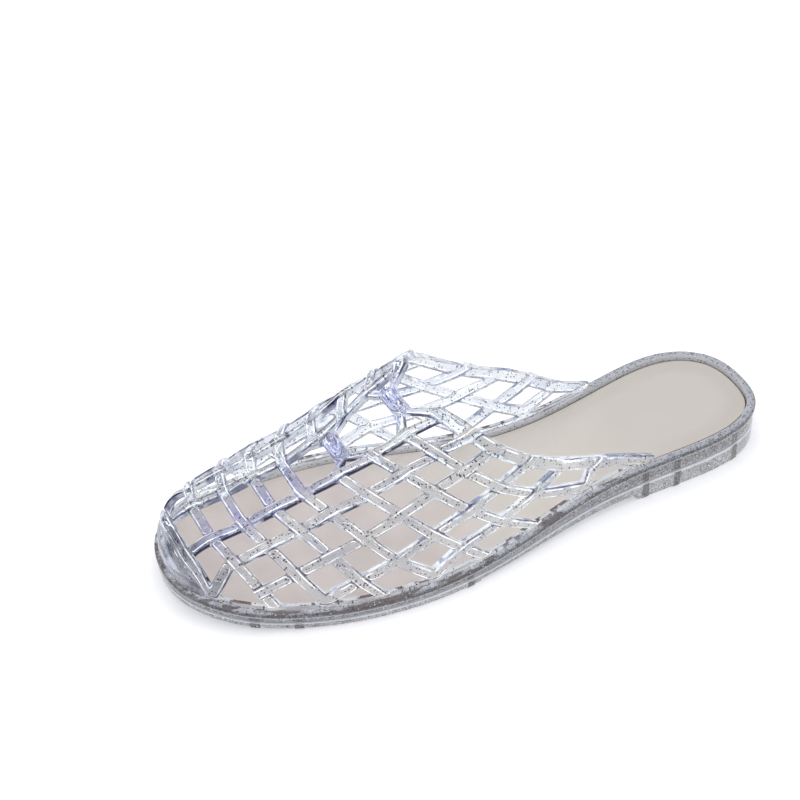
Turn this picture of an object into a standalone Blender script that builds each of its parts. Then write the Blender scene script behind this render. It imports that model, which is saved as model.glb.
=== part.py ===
"""Flat sandal for the left foot: a clear moulded slide with a woven-look lattice upper.

Lengths below are in millimetres, and millimetre() turns them into Blender's metres.
+X runs from heel to toe, +Y to the outer side of the foot, +Z up, and Z = 0 is the floor.
"""

import math

import bmesh
import bpy
import numpy as np

MM = 0.001

# Sole outline, worked out as a closed curve through this many points
OUTLINE_POINTS = 1200
SOLE_LENGTH = 250.0
BALL_WIDTH = 90.0
# Station along the length, outer edge and inner edge, as shares of SOLE_LENGTH and BALL_WIDTH
OUTLINE = (
    (0.000, 0.000, 0.000),
    (0.016, 0.190, -0.187),
    (0.085, 0.319, -0.308),
    (0.212, 0.352, -0.282),
    (0.352, 0.372, -0.233),
    (0.491, 0.446, -0.309),
    (0.632, 0.500, -0.452),
    (0.751, 0.474, -0.500),
    (0.845, 0.400, -0.494),
    (0.925, 0.292, -0.440),
    (0.983, 0.120, -0.278),
    (1.000, -0.056, -0.056),
)

# Sole heights above the floor
HEEL_RIM_HEIGHT = 16.2
FORE_RIM_HEIGHT = 7.3
RIM_SLOPE_STATION = 0.414
RIM_SLOPE_SPREAD = 18.0
TOE_SPRING = 4.6
SPRING_STATION = 0.77
BREAST_LIFT = 2.8
PAD_LIFT = 0.9
HEEL_BREAST_STATION = 0.271
PAD_STATION = 0.573
STEP_RUN = 0.8
HEEL_LAYER_HEIGHT = 8.0
FORE_LAYER_HEIGHT = 2.9

# Sole details
RIM_WIDTH = 3.6
RIM_ROUND = 0.9
RIM_INNER_BEVEL = 0.4
RIM_FLANGE = 2.2
SIDE_RECESS = 0.6
SEAT_GAP = 0.3
EDGE_ROUND = 0.6
SIDE_BAR_WIDTH = 3.0
SIDE_BAR_RELIEF = 0.4
SIDE_BAR_EDGE = 0.4
SIDE_BAR_STATIONS = (0.084, 0.199, 0.257, 0.590, 0.853, 0.911)
GROOVE_WIDTH = 2.6
GROOVE_DEPTH = 1.3
GROOVE_MARGIN = 7.0
GROOVE_STATIONS = (0.055, 0.10, 0.145, 0.19, 0.235, 0.62, 0.67, 0.72, 0.77, 0.82, 0.87, 0.92)
INSOLE_THICKNESS = 0.9
INSOLE_DROP = 2.2
INSOLE_BEVEL = 0.3

# Rows of the sole's mesh from heel to toe, and the least distance between two of them beside a step
SOLE_ROWS = 26
LEAST_ROW_GAP = 1.5

# Upper: the last it is moulded over
UPPER_WALL = 2.3
UPPER_SETBACK = 1.5
SECTION_SQUARENESS = 2.7
INSTEP_HEIGHT = 77.0
# Station along the length, and height of the crown line above the floor as a share of INSTEP_HEIGHT
CROWN = (
    (0.23, 1.70),
    (0.33, 1.49),
    (0.43, 1.245),
    (0.532, 1.00),
    (0.632, 0.79),
    (0.732, 0.585),
    (0.832, 0.452),
    (0.885, 0.395),
    (0.932, 0.362),
    (0.965, 0.350),
    (1.000, 0.340),
)
TOE_ROUND = 18.0
TOE_SQUARENESS = 2.3
# A short way over the last, for slopes and for walking down a rib
SURFACE_STEP = 0.5

# Upper: the lattice
STRAND_WIDTH = 4.3
TOPLINE_WIDTH = 5.6
STRAND_CROWN = 0.7
# The crown at the middle of a crossing, as a share of a strand's
CROSSING_CROWN = 1.3
FOOT_BAND_HEIGHT = 2.6
ROOT_NOTCH = 4.6
# Half lengths of the roots on the foot band, in strand widths: of a rib alone, and of a rib that shares
# its root with a long strand; and how much further the topline's root runs on towards the heel
LONE_ROOT = 0.62
SHARED_ROOT = 0.5
TOPLINE_TAIL = 1.9
LEAST_ROOT_CELL = 8.0
SWEEP_ROUND = 38.0
# Lengths of the mesh's faces along a strand and along the foot band
MESH_STEP = 6.0
BAND_STEP = 9.0
# Cross ribs from toe to topline: the station where each crosses the crown line, how far it sweeps back
# down the side, and how far it bows back, in millimetres, over the arch of the inner side
RIBS = (
    (0.972, 0.35, 0.0),
    (0.932, 0.58, 0.0),
    (0.884, 0.62, 0.0),
    (0.838, 0.72, 0.0),
    (0.794, 0.80, 0.0),
    (0.744, 0.86, 0.6),
    (0.697, 0.94, 1.6),
    (0.652, 0.98, 3.4),
    (0.604, 0.99, 5.6),
)
INNER_BOW_GIRTH = 78.0
INNER_BOW_SPREAD = 25.0
# Long strands outwards from the crown line: distance from it in pitches, spread towards the heel on the
# outer and the inner side in millimetres a millimetre, and the station where the spread starts
STRAND_PITCH = 14.5
STRANDS = (
    (0.69, 0.160, 0.160, 0.765),
    (1.62, 0.130, 0.130, 0.765),
    (2.62, 0.045, 0.045, 0.790),
    (3.62, 0.080, 0.080, 0.770),
    (4.79, 0.165, 0.060, 0.612),
    (5.97, 0.220, 0.040, 0.512),
    (6.72, 0.330, 0.180, 0.448),
    (7.17, 0.350, 0.260, 0.384),
)
GUARD_BULGE = 1.0

# Knots: pairs of neighbouring ribs drawn together on the crown line, by their row in RIBS
KNOT_PAIRS = ((5, 6), (7, 8))
KNOT_BAR_LENGTH = 14.0
KNOT_WAIST = 5.6
KNOT_THICKNESS = 6.4
KNOT_RISE = 1.2
# How far the knot swells past the bar, and how blunt its ends are: 1 is an ellipsoid, 0 a flat end
KNOT_SWELL = 1.15
KNOT_BLUNTNESS = 0.75
# Across the bar: shares of its half width, and of the strands' crown
KNOT_LANES = ((-1.0, 0.0), (-0.5, 1.0), (0.0, 0.6), (0.5, 1.0), (1.0, 0.0))


def millimetre(points):
    return [tuple(float(value) * MM for value in point) for point in points]


def spline(knots, values, periodic=False):
    """Cubic curve through the values, as a function of the knots' parameter."""
    knots = np.asarray(knots, float)
    values = np.asarray(values, float).reshape(len(knots), -1)
    gaps = np.diff(knots)
    slopes = np.diff(values, axis=0) / gaps[:, None]
    count = len(knots)
    matrix = np.eye(count)
    right = np.zeros_like(values)
    for row in range(1, count - 1):
        matrix[row, row - 1 : row + 2] = gaps[row - 1], 2 * (gaps[row - 1] + gaps[row]), gaps[row]
        right[row] = 6 * (slopes[row] - slopes[row - 1])
    if periodic:
        matrix[0, -1] = -1.0
        matrix[-1] = 0.0
        matrix[-1, 0] = 2 * gaps[0]
        matrix[-1, 1] = gaps[0]
        matrix[-1, -1] = 2 * gaps[-1]
        matrix[-1, -2] = gaps[-1]
        right[-1] = 6 * (slopes[0] - slopes[-1])
    bends = np.linalg.solve(matrix, right)

    def curve(at):
        at = np.clip(np.atleast_1d(np.asarray(at, float)), knots[0], knots[-1])
        row = np.clip(np.searchsorted(knots, at, side="right") - 1, 0, count - 2)
        gap = gaps[row][:, None]
        ahead = knots[row + 1][:, None] - at[:, None]
        behind = at[:, None] - knots[row][:, None]
        return (
            (bends[row] * ahead**3 + bends[row + 1] * behind**3) / (6 * gap)
            + (values[row] / gap - bends[row] * gap / 6) * ahead
            + (values[row + 1] / gap - bends[row + 1] * gap / 6) * behind
        )

    return curve


def smooth_outline():
    """Closed outline from the heel, along the outer side to the toe and back."""
    outer = [(station, outer_edge) for station, outer_edge, _ in OUTLINE]
    inner = [(station, inner_edge) for station, _, inner_edge in OUTLINE[-2:0:-1]]
    points = np.array(outer + inner + outer[:1]) * (SOLE_LENGTH, BALL_WIDTH)
    chords = np.r_[0, np.cumsum(np.linalg.norm(np.diff(points, axis=0), axis=1) ** 0.5)]
    loop = spline(chords, points, periodic=True)(np.linspace(0, chords[-1], OUTLINE_POINTS + 1)[:-1])
    return loop - (loop.max(axis=0) + loop.min(axis=0)) / 2


LOOP = smooth_outline()
HEEL_X, TOE_X = LOOP[:, 0].min(), LOOP[:, 0].max()


def station_x(share):
    return HEEL_X + share * (TOE_X - HEEL_X)


def loop_normals(loop):
    along = np.roll(loop, -1, axis=0) - np.roll(loop, 1, axis=0)
    outward = np.stack([along[:, 1], -along[:, 0]], axis=1)
    outward /= np.linalg.norm(outward, axis=1)[:, None]
    turn = np.cross(loop, np.roll(loop, -1, axis=0)).sum()
    return outward if turn > 0 else -outward


def side_curves(loop):
    """The outer and the inner side of a loop, each from heel to toe, with their outward normals."""
    outward = loop_normals(loop)
    heel, toe = int(np.argmin(loop[:, 0])), int(np.argmax(loop[:, 0]))
    turned = np.roll(np.hstack([loop, outward]), -heel, axis=0)
    split = (toe - heel) % len(loop)
    first, second = turned[: split + 1], np.vstack([turned[split:], turned[:1]])[::-1]
    return (first, second) if first[:, 1].mean() > second[:, 1].mean() else (second, first)


OUTER_SIDE, INNER_SIDE = side_curves(LOOP)


def side_point(side, x):
    """Edge point and outward normal of one side at this x."""
    curve = OUTER_SIDE if side > 0 else INNER_SIDE
    return np.array([np.interp(x, curve[:, 0], curve[:, column]) for column in range(4)])


def slope_between(x, heel_value, fore_value):
    """A height that eases from its heel value to its forefoot value over the waist."""
    fall = 1 + np.exp((x - station_x(RIM_SLOPE_STATION)) / RIM_SLOPE_SPREAD)
    return fore_value + (heel_value - fore_value) / fall


def spring(x):
    start = station_x(SPRING_STATION)
    return TOE_SPRING * np.clip((x - start) / (TOE_X - start), 0, None) ** 2


def rim_height(x):
    return slope_between(x, HEEL_RIM_HEIGHT, FORE_RIM_HEIGHT) + spring(x)


def layer_height(x):
    """Height of the parting line between outsole and midsole."""
    return slope_between(x, HEEL_LAYER_HEIGHT, FORE_LAYER_HEIGHT) + spring(x)


def tread_height(x):
    """Underside of the outsole: heel block, shank lifted off the floor, forefoot pad, toe spring."""
    breast, pad = station_x(HEEL_BREAST_STATION), station_x(PAD_STATION)
    rise = np.interp(x, (breast, breast + STEP_RUN, pad - STEP_RUN, pad), (0, BREAST_LIFT, PAD_LIFT, 0))
    return rise + spring(x)


def sole_stations(extra=()):
    """Heel-to-toe stations, closer at the round ends, with the steps' own stations added."""
    even = HEEL_X + (TOE_X - HEEL_X) * (1 - np.cos(np.linspace(0, math.pi, SOLE_ROWS + 1))) / 2
    extra = sorted(extra)
    kept = [x for x in even[1:-1] if all(abs(x - other) > LEAST_ROW_GAP for other in extra)]
    return np.array([even[0], *sorted([*kept, *extra]), even[-1]])


def ring(stations, inset, height, relief=None):
    """One level of a sole layer: outer side from heel to toe, then inner side back to the heel."""
    outer, inner = [], []
    last = len(stations) - 1
    for number, x in enumerate(stations):
        for side, row in ((1, outer), (-1, inner)):
            edge_x, edge_y, out_x, out_y = side_point(side, x)
            if number in (0, last):
                out_x, out_y = (-1.0, 0.0) if number == 0 else (1.0, 0.0)
            move = (relief(x) if relief else 0.0) - inset
            point_x = edge_x + out_x * move
            row.append((point_x, edge_y + out_y * move, float(height(point_x))))
    return outer, inner


def layered_solid(name, levels):
    """Closed mesh through the levels, with a ladder of faces over the first and the last one."""
    mesh = bmesh.new()
    loops = []
    for outer, inner in levels:
        loops.append([mesh.verts.new(point) for point in millimetre(outer + inner[-2:0:-1])])
    for lower, upper in zip(loops, loops[1:]):
        for number in range(len(lower)):
            after = (number + 1) % len(lower)
            mesh.faces.new((lower[number], lower[after], upper[after], upper[number]))
    for loop in (loops[0], loops[-1]):
        count = len(loop)
        half = count // 2
        mesh.faces.new((loop[0], loop[1], loop[-1]))
        for number in range(1, half - 1):
            mesh.faces.new((loop[number], loop[number + 1], loop[count - number - 1], loop[count - number]))
        mesh.faces.new((loop[half - 1], loop[half], loop[half + 1]))
    bmesh.ops.recalc_face_normals(mesh, faces=mesh.faces)
    return mesh_object(name, mesh, PARTS)


def mesh_object(name, mesh, collection):
    data = bpy.data.meshes.new(name)
    mesh.to_mesh(data)
    mesh.free()
    made = bpy.data.objects.new(name, data)
    collection.objects.link(made)
    return made


def finish(made, material, smooth_angle=40):
    made.data.materials.append(material)
    made.data.shade_smooth()
    made.data.set_sharp_from_angle(angle=math.radians(smooth_angle))


def plastic(name, colour, roughness, clear=0.0):
    material = bpy.data.materials.new(name)
    material.use_nodes = True
    shader = material.node_tree.nodes["Principled BSDF"]
    shader.inputs["Base Color"].default_value = (*colour, 1.0)
    shader.inputs["Roughness"].default_value = roughness
    shader.inputs["Metallic"].default_value = 0.0
    shader.inputs["Transmission Weight"].default_value = clear
    return material


def side_bar_relief(x):
    near = min(abs(x - station_x(share)) for share in SIDE_BAR_STATIONS)
    return SIDE_BAR_RELIEF if near <= SIDE_BAR_WIDTH / 2 + 1e-6 else 0.0


def build_outsole(material):
    breast, pad = station_x(HEEL_BREAST_STATION), station_x(PAD_STATION)
    steps = [breast, breast + STEP_RUN, pad - STEP_RUN, pad]
    for share in SIDE_BAR_STATIONS:
        centre, half = station_x(share), SIDE_BAR_WIDTH / 2
        steps += [centre - half - SIDE_BAR_EDGE, centre - half, centre + half, centre + half + SIDE_BAR_EDGE]
    stations = sole_stations(steps)

    def below_seat(x):
        return layer_height(x) - SEAT_GAP / 2

    levels = [
        ring(stations, EDGE_ROUND + SIDE_BAR_RELIEF, tread_height),
        ring(stations, SIDE_BAR_RELIEF, lambda x: tread_height(x) + EDGE_ROUND, side_bar_relief),
        ring(stations, SIDE_BAR_RELIEF, lambda x: below_seat(x) - EDGE_ROUND, side_bar_relief),
        ring(stations, EDGE_ROUND + SIDE_BAR_RELIEF, below_seat),
    ]
    outsole = layered_solid("outsole", levels)
    for number, share in enumerate(GROOVE_STATIONS):
        cut_groove(outsole, number, station_x(share))
    finish(outsole, material)


def cut_groove(outsole, number, x):
    """A cross groove in the tread, short of both edges."""
    outer, inner = side_point(1, x)[1] - GROOVE_MARGIN, side_point(-1, x)[1] + GROOVE_MARGIN
    bottom = float(tread_height(x)) - GROOVE_DEPTH
    top = float(tread_height(x)) + GROOVE_DEPTH
    cutter = bmesh.new()
    bmesh.ops.create_cube(cutter, size=1.0)
    for vertex in cutter.verts:
        vertex.co.x = (x + vertex.co.x * GROOVE_WIDTH) * MM
        vertex.co.y = (inner + (vertex.co.y + 0.5) * (outer - inner)) * MM
        vertex.co.z = (bottom + (vertex.co.z + 0.5) * (top - bottom)) * MM
    groove = mesh_object(f"groove_cutter_{number}", cutter, CUTTERS)
    groove.hide_render = True
    groove.display_type = "WIRE"
    cut = outsole.modifiers.new(f"groove_{number}", "BOOLEAN")
    cut.operation = "DIFFERENCE"
    cut.object = groove


def insole_top(x):
    return rim_height(x) - INSOLE_DROP


def build_midsole(material):
    """The tray: side wall, rim with rounded edges, and the floor that carries the insole."""
    stations = sole_stations()

    def above_seat(x):
        return layer_height(x) + SEAT_GAP / 2

    def tray_floor(x):
        return insole_top(x) - INSOLE_THICKNESS - SEAT_GAP

    levels = [
        ring(stations, EDGE_ROUND + SIDE_RECESS, above_seat),
        ring(stations, SIDE_RECESS, lambda x: above_seat(x) + EDGE_ROUND),
        ring(stations, SIDE_RECESS, lambda x: rim_height(x) - RIM_FLANGE - SIDE_RECESS),
        ring(stations, 0.0, lambda x: rim_height(x) - RIM_FLANGE),
        ring(stations, 0.0, lambda x: rim_height(x) - RIM_ROUND),
        ring(stations, RIM_ROUND, rim_height),
        ring(stations, RIM_WIDTH - RIM_INNER_BEVEL, rim_height),
        ring(stations, RIM_WIDTH, lambda x: rim_height(x) - RIM_INNER_BEVEL),
        ring(stations, RIM_WIDTH, tray_floor),
    ]
    finish(layered_solid("midsole", levels), material)


def build_insole(material):
    stations = sole_stations()
    edge = RIM_WIDTH + SEAT_GAP
    levels = [
        ring(stations, edge, lambda x: insole_top(x) - INSOLE_THICKNESS),
        ring(stations, edge, lambda x: insole_top(x) - INSOLE_BEVEL),
        ring(stations, edge + INSOLE_BEVEL, insole_top),
    ]
    finish(layered_solid("insole", levels), material)


crown_height = spline([row[0] for row in CROWN], [row[1] for row in CROWN])
UPPER_TOE_X = TOE_X - UPPER_SETBACK
SHELL_SAMPLES = np.linspace(0, 1, 161) ** 1.5 * math.pi / 2


def foot_edges(x):
    """Outer and inner edge of the upper's foot at this x, set back from the sole's edge."""
    edges = []
    for side in (1, -1):
        curve = OUTER_SIDE if side > 0 else INNER_SIDE
        set_back = curve[:, :2] - UPPER_SETBACK * curve[:, 2:]
        edges.append(np.interp(x, set_back[:, 0], set_back[:, 1]))
    return edges


def foot_height(x):
    return float(rim_height(x)) + SEAT_GAP


def shell_height(x):
    """Height of the crown line above the foot, closing in a round toe."""
    share = (x - HEEL_X) / (TOE_X - HEEL_X)
    open_height = float(crown_height(share)[0, 0]) * INSTEP_HEIGHT - foot_height(x)
    into_toe = np.clip((x - (UPPER_TOE_X - TOE_ROUND)) / TOE_ROUND, 0, 1)
    return open_height * float((1 - into_toe**TOE_SQUARENESS) ** (1 / TOE_SQUARENESS))


HALF_SECTIONS = {}


def half_section(x, side):
    """Points of one half of the section at x from crown line to foot, and their distance along it."""
    key = (round(float(x), 2), side)
    if key not in HALF_SECTIONS:
        x = key[0]
        outer, inner = foot_edges(x)
        centre = (outer + inner) / 2
        reach = (outer if side > 0 else inner) - centre
        power = 2 / SECTION_SQUARENESS
        across = centre + reach * np.sin(SHELL_SAMPLES) ** power
        up = foot_height(x) + shell_height(x) * np.cos(SHELL_SAMPLES).clip(0) ** power
        walked = np.r_[0, np.cumsum(np.hypot(np.diff(across), np.diff(up)))]
        HALF_SECTIONS[key] = across, up, walked
    return HALF_SECTIONS[key]


def girth_to_foot(x, side):
    return half_section(x, side)[2][-1]


def shell_point(x, girth):
    """Point of the last's surface: girth is the signed distance round the section from the crown line."""
    x = min(x, UPPER_TOE_X - SURFACE_STEP / 10)
    across, up, walked = half_section(x, 1 if girth >= 0 else -1)
    return np.array([x, np.interp(abs(girth), walked, across), np.interp(abs(girth), walked, up)])


def shell_normal(x, girth):
    step = SURFACE_STEP
    side = 1 if girth >= 0 else -1
    girth = side * min(abs(girth), girth_to_foot(x, side) - step)
    along = shell_point(x + step, girth) - shell_point(x - step, girth)
    around = shell_point(x, girth + step) - shell_point(x, girth - step)
    normal = np.cross(around, along)
    normal /= np.linalg.norm(normal)
    outward = shell_point(x, girth) - np.array([x - TOE_ROUND, 0.0, 0.0])
    return normal if normal @ outward > 0 else -normal


def rib_x(row, girth, side):
    """Where a cross rib lies at this distance round the section."""
    station, sweep, inner_bow = RIBS[row]
    bow = inner_bow * math.exp(-(((girth - INNER_BOW_GIRTH) / INNER_BOW_SPREAD) ** 2)) if side < 0 else 0.0
    return station_x(station) - sweep * (math.hypot(girth, SWEEP_ROUND) - SWEEP_ROUND) - bow


def strand_girth(row, x, side):
    pitches, outer_spread, inner_spread, station = STRANDS[row]
    spread = outer_spread if side > 0 else inner_spread
    return pitches * STRAND_PITCH + spread * max(0.0, station_x(station) - x)


def rib_width(row):
    return TOPLINE_WIDTH if row == len(RIBS) - 1 else STRAND_WIDTH


def root_girth(row, side):
    """Distance round the section at which a rib reaches the foot band."""
    girth = 0.0
    while girth < girth_to_foot(rib_x(row, girth, side), side) - FOOT_BAND_HEIGHT:
        girth += SURFACE_STEP / 2
    return girth


def crossing(strand, rib, side):
    x = station_x(RIBS[rib][0])
    for _ in range(40):
        girth = strand_girth(strand, x, side)
        x = rib_x(rib, girth, side)
    return x, girth


def strand_crosses(strand, rib, side):
    x, girth = crossing(strand, rib, side)
    return girth_to_foot(x, side) - girth > LEAST_ROOT_CELL


class Lattice:
    """The open sheet of the upper: its vertices by name, and faces between them."""

    def __init__(self):
        self.mesh = bmesh.new()
        self.places = {}
        self.verts = {}
        self.strips = {}

    def add(self, name, x, girth, lift=0.0):
        """A vertex on the last's surface, raised along the normal."""
        if name not in self.verts:
            point = shell_point(x, girth) + lift * shell_normal(x, girth)
            self.places[name] = (x, girth)
            self.verts[name] = self.mesh.verts.new(millimetre([point])[0])
        return name

    def add_point(self, name, point):
        if name not in self.verts:
            self.places[name] = None
            self.verts[name] = self.mesh.verts.new(millimetre([point])[0])
        return name

    def face(self, *names):
        self.mesh.faces.new([self.verts[name] for name in names])

    def strip(self, tag, start, end, lift_start, lift_end):
        """A strand between two ends, each given as (edge, middle, edge) vertex names."""
        gap = self.verts[start[1]].co - self.verts[end[1]].co
        pieces = max(2, round(gap.length / MM / MESH_STEP))
        rows = [start]
        for number in range(1, pieces):
            share = number / pieces
            names = []
            sides = []
            for lane in (0, 2):
                first, last = self.places[start[lane]], self.places[end[lane]]
                sides.append([first[axis] + share * (last[axis] - first[axis]) for axis in (0, 1)])
            middle = [(sides[0][axis] + sides[1][axis]) / 2 for axis in (0, 1)]
            bow = math.sin(math.pi * share)
            lift = lift_start + share * (lift_end - lift_start)
            lift += (STRAND_CROWN - lift) * bow**0.5
            for lane, place, raised in ((0, sides[0], 0), (1, middle, lift), (2, sides[1], 0)):
                names.append(self.add((tag, number, lane), *place, raised))
            rows.append(names)
        rows.append(end)
        self.strips[tag] = rows
        self.ladder(rows)

    def ladder(self, rows):
        for row, following in zip(rows, rows[1:]):
            for lane in range(len(row) - 1):
                self.face(row[lane], row[lane + 1], following[lane + 1], following[lane])

    def spot(self, name):
        return np.array(self.verts[name].co) / MM


def param_step(x, girth, along_rib, rib):
    """Change of (x, girth) for one millimetre along the rib, or along the long strand, here."""
    side = 1 if girth >= 0 else -1
    step = SURFACE_STEP
    if along_rib:
        ahead, behind = (rib_x(rib, abs(girth) + move, side) for move in (step, -step))
        change = np.array([ahead - behind, side * 2 * step])
    else:
        change = np.array([2 * step, 0.0])
    walked = shell_point(x + change[0] / 2, girth + change[1] / 2)
    walked = walked - shell_point(x - change[0] / 2, girth - change[1] / 2)
    return change / np.linalg.norm(walked), walked / np.linalg.norm(walked)


def build_crossing(lattice, side, strand, rib):
    """Nine vertices where a strand crosses a rib. The one that passes over keeps its crown."""
    x, girth = crossing(strand, rib, side)
    girth *= side
    down, down_way = param_step(x, girth, True, rib)
    fore, fore_way = param_step(x, girth, False, rib)
    slant = math.sqrt(1 - float(down_way @ fore_way) ** 2)
    half_down = STRAND_WIDTH / 2 / slant
    half_fore = rib_width(rib) / 2 / slant
    rib_over = (strand + rib) % 2 == 0
    for across in (-1, 0, 1):
        for ahead in (-1, 0, 1):
            place = np.array([x, girth]) + down * across * half_down + fore * ahead * half_fore
            lift = 0.0
            if across == 0 and ahead == 0:
                lift = STRAND_CROWN * CROSSING_CROWN
            elif ahead == 0:
                lift = STRAND_CROWN if rib_over else 0.0
            elif across == 0:
                lift = 0.0 if rib_over else STRAND_CROWN
            lattice.add((side, strand, rib, across, ahead), *place, lift)
    for across in (-1, 0):
        for ahead in (-1, 0):
            corners = ((across, ahead), (across + 1, ahead), (across + 1, ahead + 1), (across, ahead + 1))
            lattice.face(*((side, strand, rib, *corner) for corner in corners))


def down_end(side, strand, rib, across):
    """The three vertices on a crossing's crown side (-1) or foot side (1)."""
    return [(side, strand, rib, across, ahead) for ahead in (-1, 0, 1)]


def fore_end(side, strand, rib, ahead):
    """The three vertices on a crossing's heel side (-1) or toe side (1)."""
    return [(side, strand, rib, across, ahead) for across in (-1, 0, 1)]


def end_lift(over):
    return STRAND_CROWN if over else 0.0


def root_stops(path, roots):
    """Both corners of each root, with their distance along the foot line."""
    stops = []
    for (side, rib), (x, toe_reach, heel_reach) in roots.items():
        centre = foot_distance(path, side, x)
        stops.append((centre - side * heel_reach, (side, "root", rib, "heel")))
        stops.append((centre + side * toe_reach, (side, "root", rib, "toe")))
    return stops


def place_stops(lattice, path, stops):
    """A vertex at the bottom and one at the top of the foot band for each stop."""
    for distance, name in stops:
        point = foot_point(path, distance)
        lattice.add_point((name, "low"), point)
        lattice.add_point((name, "top"), point + np.array([0, 0, FOOT_BAND_HEIGHT]))


def build_foot_band(lattice, path, stops):
    """The band round the foot, from the outer topline root round the toe to the inner one."""
    stops = sorted(stops)
    fills = []
    for (distance, name), (after, after_name) in zip(stops, stops[1:]):
        pieces = 0 if name[:3] == after_name[:3] else int((after - distance) // BAND_STEP)
        for number in range(1, pieces + 1):
            fills.append((distance + (after - distance) * number / (pieces + 1), ("fill", name, number)))
    place_stops(lattice, path, fills)
    rows = sorted(stops + fills, key=lambda stop: stop[0])
    lattice.ladder([[(name, "low"), (name, "top")] for _, name in rows])


def foot_path():
    """Foot line of the upper from the heel end of the outer side, round the toe, to the inner side."""
    set_back = [curve[:, :2] - UPPER_SETBACK * curve[:, 2:] for curve in (OUTER_SIDE, INNER_SIDE)]
    line = np.vstack([set_back[0], set_back[1][::-1]])
    walked = np.r_[0, np.cumsum(np.linalg.norm(np.diff(line, axis=0), axis=1))]
    kept = np.r_[True, np.diff(walked) > 1e-6]
    return line[kept], walked[kept]


def foot_distance(path, side, x):
    line, walked = path
    tip = int(np.argmax(line[:, 0]))
    part = slice(0, tip + 1) if side > 0 else slice(tip, None)
    order = 1 if side > 0 else -1
    return float(np.interp(x, line[part, 0][::order], walked[part][::order]))


def foot_point(path, distance):
    line, walked = path
    x, y = (np.interp(distance, walked, line[:, axis]) for axis in (0, 1))
    return np.array([x, y, foot_height(x)])


def build_upper(material):
    lattice = Lattice()
    last_rib = len(RIBS) - 1
    crossed = {}
    for side in (1, -1):
        for rib in range(len(RIBS)):
            crossed[side, rib] = [s for s in range(len(STRANDS)) if strand_crosses(s, rib, side)]
            for strand in crossed[side, rib]:
                build_crossing(lattice, side, strand, rib)

    # Strands between crossings, and ribs between crossings
    for side in (1, -1):
        for rib in range(len(RIBS)):
            strands = crossed[side, rib]
            for strand, outer in zip(strands, strands[1:]):
                lattice.strip(
                    (side, "rib", rib, strand),
                    down_end(side, strand, rib, 1),
                    down_end(side, outer, rib, -1),
                    end_lift((strand + rib) % 2 == 0),
                    end_lift((outer + rib) % 2 == 0),
                )
            if rib == last_rib:
                continue
            for strand in strands:
                if strand in crossed[side, rib + 1]:
                    lattice.strip(
                        (side, "strand", rib, strand),
                        fore_end(side, strand, rib, -1),
                        fore_end(side, strand, rib + 1, 1),
                        end_lift((strand + rib) % 2 == 1),
                        end_lift((strand + rib + 1) % 2 == 1),
                    )

    # Ribs over the crown line, with the knots where a pair of them is drawn together
    knotted = {rib for pair in KNOT_PAIRS for rib in pair}
    for rib in range(len(RIBS)):
        if rib not in knotted:
            lattice.strip(
                ("crown", rib),
                down_end(1, 0, rib, -1),
                down_end(-1, 0, rib, -1),
                end_lift(rib % 2 == 0),
                end_lift(rib % 2 == 0),
            )
    for pair in KNOT_PAIRS:
        build_knot_bar(lattice, pair)

    # Roots: each rib ends on the foot band, and a strand that meets no further rib ends beside it
    roots = {}
    for side, rib in crossed:
        girth = root_girth(rib, side)
        shared = rib < last_rib and root_strand(crossed, side, rib) is not None
        reach = rib_width(rib) * (SHARED_ROOT if shared else LONE_ROOT)
        roots[side, rib] = (rib_x(rib, girth, side), reach, reach * (1.0 if rib < last_rib else TOPLINE_TAIL))
    path = foot_path()
    stops = root_stops(path, roots)
    place_stops(lattice, path, stops)
    for (side, rib), (x, _, _) in roots.items():
        build_root(lattice, side, rib, crossed, x)
    stops += build_toe_guard(lattice, path, crossed, dict((name, distance) for distance, name in stops))
    build_foot_band(lattice, path, stops)

    bmesh.ops.recalc_face_normals(lattice.mesh, faces=lattice.mesh.faces)
    tallest = max(lattice.mesh.faces, key=lambda face: face.calc_center_median().z)
    if tallest.normal.z < 0:
        bmesh.ops.reverse_faces(lattice.mesh, faces=lattice.mesh.faces)
    upper = mesh_object("upper", lattice.mesh, PARTS)
    wall = upper.modifiers.new("wall", "SOLIDIFY")
    wall.thickness = UPPER_WALL * MM
    wall.offset = -1.0
    for number, pair in enumerate(KNOT_PAIRS):
        join_knot(upper, number, pair)
    finish(upper, material, 50)


def root_strand(crossed, side, rib):
    """The strand that ends at this rib's root: it crosses the next rib but not this one."""
    new = [s for s in crossed[side, rib + 1] if s not in crossed[side, rib]]
    return new[0] if new else None


def place_on_foot(lattice, name, x, side):
    """Gives a foot vertex its place in (x, girth), so that strips can run to it."""
    lattice.places[name] = (x, side * (girth_to_foot(x, side) - FOOT_BAND_HEIGHT))


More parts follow.
